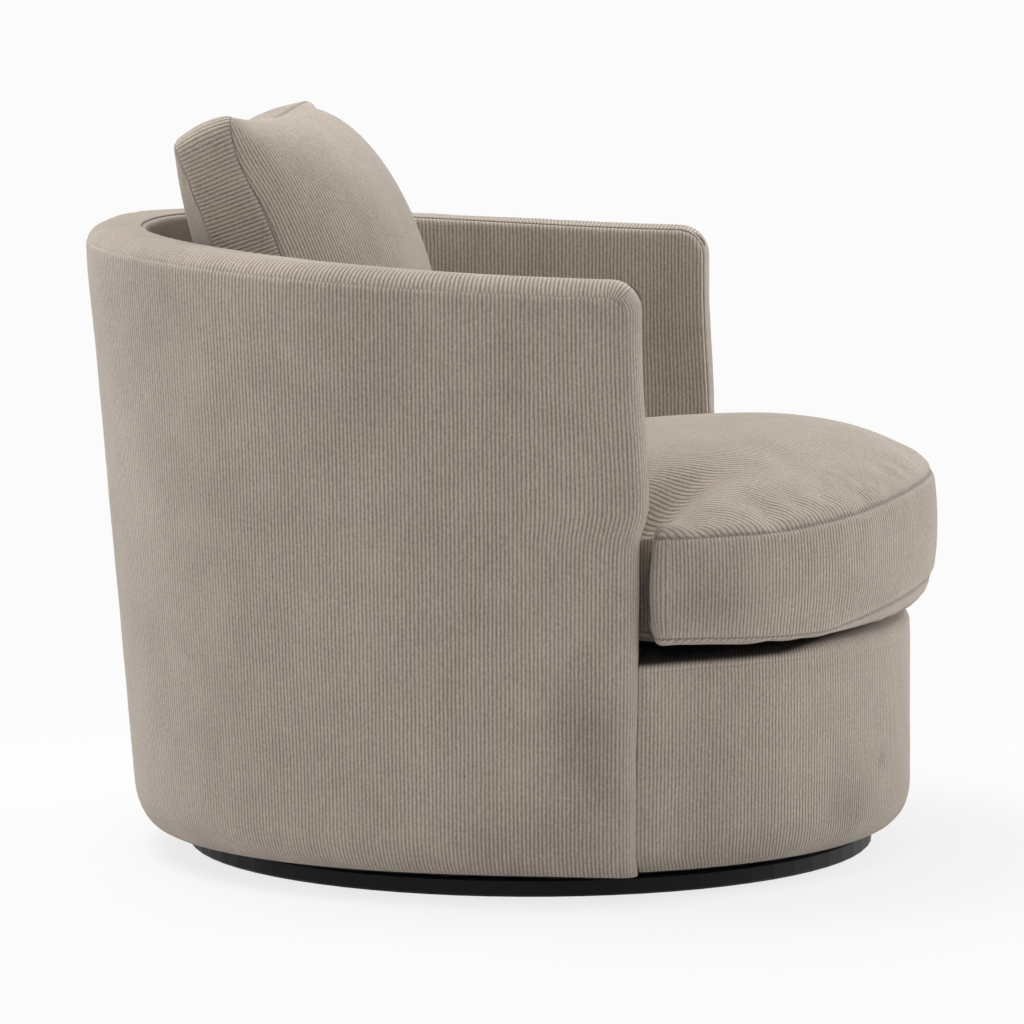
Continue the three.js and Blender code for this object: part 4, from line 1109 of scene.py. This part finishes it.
def make_seat():
    outline = evened(seat_outline(), 0.0115)
    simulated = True
    slack = SEAT_SLACK if simulated else 0.0

    def high(points, distance):
        x, y = points.T
        front = -y / SEAT_RADIUS
        seam = TOP_SEAM + risen(front, *TOP_RISE, 2)
        middle = SEAT_TOP - slack + SEAT_CROWN * smooth(front) * (1 - (x / SEAT_RADIUS) ** 2)
        rounder = smooth(front / SEAT_FILL_OVER)
        return lerp(seam, middle, fullness(distance, lerp(*SEAT_REACH, rounder), lerp(*SEAT_POWER, rounder)))

    def low(points, distance):
        front = -points[:, 1] / SEAT_RADIUS
        dip, start, over = LOW_DIP
        seam = LOW_SEAM - dip * smooth((front - start) / over) + risen(front, *LOW_RISE, 1.2)
        return lerp(seam, DECK_Z + REST_CLEAR, fullness(distance, LOW_REACH, LOW_POWER))

    at_ear = np.clip(-offsets(outline)[:, 1], 0, 1) * (outline[:, 1] < ARM_FRONT + 0.01)
    bulge = SEAT_BULGE - slack * SLACK_BULGE + EAR_BULGE * at_ear
    points, faces, uvs, seam = cushion_mesh(outline, 0.0125, 11, low, high, bulge)
    piece = make_object("loose_seat_cushion", points, faces, uvs, seam, body="seat_pad")
    if simulated:
        inflate(piece, seam, lerp(*SEAT_CAP, smooth((points[:, 2] - CAP_FROM) / CAP_OVER)))
        even_out(piece, seam > EVEN_FROM)
    subdivide(piece)
    draw_seams(piece, SEAT_PUCKER)
    points = get_points(piece)
    points[:, 2] -= crease(points) * smooth((points[:, 2] - CREASE_LOW) / CREASE_OVER)
    points = clear_of_arms(inside_wall(points))
    points[:, 2] = maximum(points[:, 2], DECK_Z + REST_CLEAR)
    set_points(piece, points)
    finish(piece, "seat_cushion", 0.85)
    return piece


def back_outline():
    half, height, trim = BACK_WIDTH / 2, BACK_HEIGHT, BACK_TRIM

    def edge(start, end, inward):
        shares = linspace(0, 1, 24)[:, None]
        waist = array(inward) * BACK_WAIST * np.sin(np.pi * shares)
        return lerp(array(start), array(end), shares) + waist

    return join([
        edge((-half + trim, 0), (half - trim, 0), (0, 1)),
        edge((half, trim), (half, height - trim), (-1, 0)),
        edge((half - trim, height), (-half + trim, height), (0, -1)),
        edge((-half, height - trim), (-half, trim), (1, 0)),
    ])


def make_back(seat):
    outline = evened(back_outline(), 0.0105)
    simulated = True
    half = BACK_BOXING / 2
    front_full, rear_full = (full - simulated * slack for full, slack in zip(BACK_FULL, BACK_SLACK))

    def swell(points):
        x, y = points.T
        kept = 1 - SIDE_LOSS * (x / (BACK_WIDTH / 2)) ** 2
        side = BACK_WIDTH / 2 - BACK_WAIST * np.sin(np.pi * y / BACK_HEIGHT) - np.abs(x)
        end = minimum(y, BACK_HEIGHT - y) - BACK_WAIST * np.cos(np.pi * x / BACK_WIDTH)
        full = fullness(maximum(0, end), BACK_REACH, END_POWER)
        return kept * fullness(maximum(0, side), BACK_REACH, SIDE_POWER) * full

    def high(points, distance):
        return half + front_full * swell(points)

    def low(points, distance):
        return -half - rear_full * swell(points)

    bulge = np.full(len(outline), BACK_BULGE)
    points, faces, uvs, seam = cushion_mesh(outline, 0.0115, 9, low, high, bulge, evenly=True)
    # No corner of a stuffed cushion is like the next: place, reach and how far it is pushed
    far_x, top_y = BACK_WIDTH / 2, BACK_HEIGHT
    for place, reach, push in (
        ((far_x, top_y, -half), 0.055, (-0.004, -0.012, 0.023)),
        ((-far_x, top_y, half), 0.050, (0.0, 0.006, 0.002)),
        ((-far_x, top_y - 0.04, half), 0.035, (0.0, 0.0, -0.007)),
    ):
        near = bell(norm(points - array(place), axis=1), reach)
        points = points + near[:, None] * array(push)
    tilt = math.pi / 2 - BACK_LEAN
    cosine, sine = math.cos(tilt), math.sin(tilt)
    x, y, z = points.T
    points = stack([x, y * cosine - z * sine, y * sine + z * cosine], 1) + array(BACK_FOOT)
    piece = make_object("loose_back_cushion", points, faces, uvs, seam, body="back_pad")
    if simulated:
        inflate(piece, seam, BACK_CAP)
    subdivide(piece)
    draw_seams(piece, BACK_PUCKER)
    points = inside_wall(get_points(piece))
    # It rests on the seat cushion as that has come out
    tree = BVHTree.FromObject(seat, bpy.context.evaluated_depsgraph_get())
    for index in np.nonzero(points[:, 2] < BACK_REST_Z)[0]:
        place = Vector((points[index, 0], points[index, 1], OVER_SEAT))
        hit, _, _, _ = tree.ray_cast(place, Vector((0, 0, -1)))
        if hit is not None:
            points[index, 2] = max(points[index, 2], hit.z + REST_CLEAR)
    set_points(piece, points)
    finish(piece, "back_cushion", 0.9)


make_outside()
make_inside()
make_band()
make_rail()
make_deck()
make_dust_cover()
make_back(make_seat())


# Floor, world and lamps


def make_stage():
    mesh = bpy.data.meshes.new("studio_floor")
    corners = [(x * FLOOR_SIZE, y * FLOOR_SIZE, 0) for x, y in ((-1, -1), (1, -1), (1, 1), (-1, 1))]
    mesh.from_pydata(corners, [], [(0, 1, 2, 3)])
    n = new_material("pale_floor", bare=True)
    diffuse = n.add("BsdfDiffuse", FLOOR_GREY).outputs[0]
    glow = n.add("Emission", WHITE, BACKGROUND).outputs[0]
    # Further from the chair the floor is as white as the wall behind it
    away = n.add("VectorMath", n.place(), operation="LENGTH").outputs["Value"]
    fade = n.range(away, FADE_START, FADE_END, FADE_LEAST, 1.0, interpolation_type="SMOOTHSTEP")
    n.end("OutputMaterial", n.times(n.sight(), fade), diffuse, glow)
    mesh.materials.append(n.owner)
    floor = new_object("studio_floor", mesh)


def make_world():
    scene.world = bpy.data.worlds.new("studio")
    n = Nodes(scene.world, bare=True)
    light = n.add("Background", WORLD_LIGHT, WORLD_STRENGTH).outputs[0]
    seen = n.add("Background", WHITE, BACKGROUND).outputs[0]
    n.end("OutputWorld", n.sight(), light, seen)


make_stage()
make_world()
for name, place, target, size, power in LAMPS:
    data = bpy.data.lights.new(name, "AREA")
    data.shape = "RECTANGLE"
    data.size, data.size_y = size
    data.energy = power
    aim(new_object(name, data), place, target)

scene.view_settings.view_transform = "Standard"
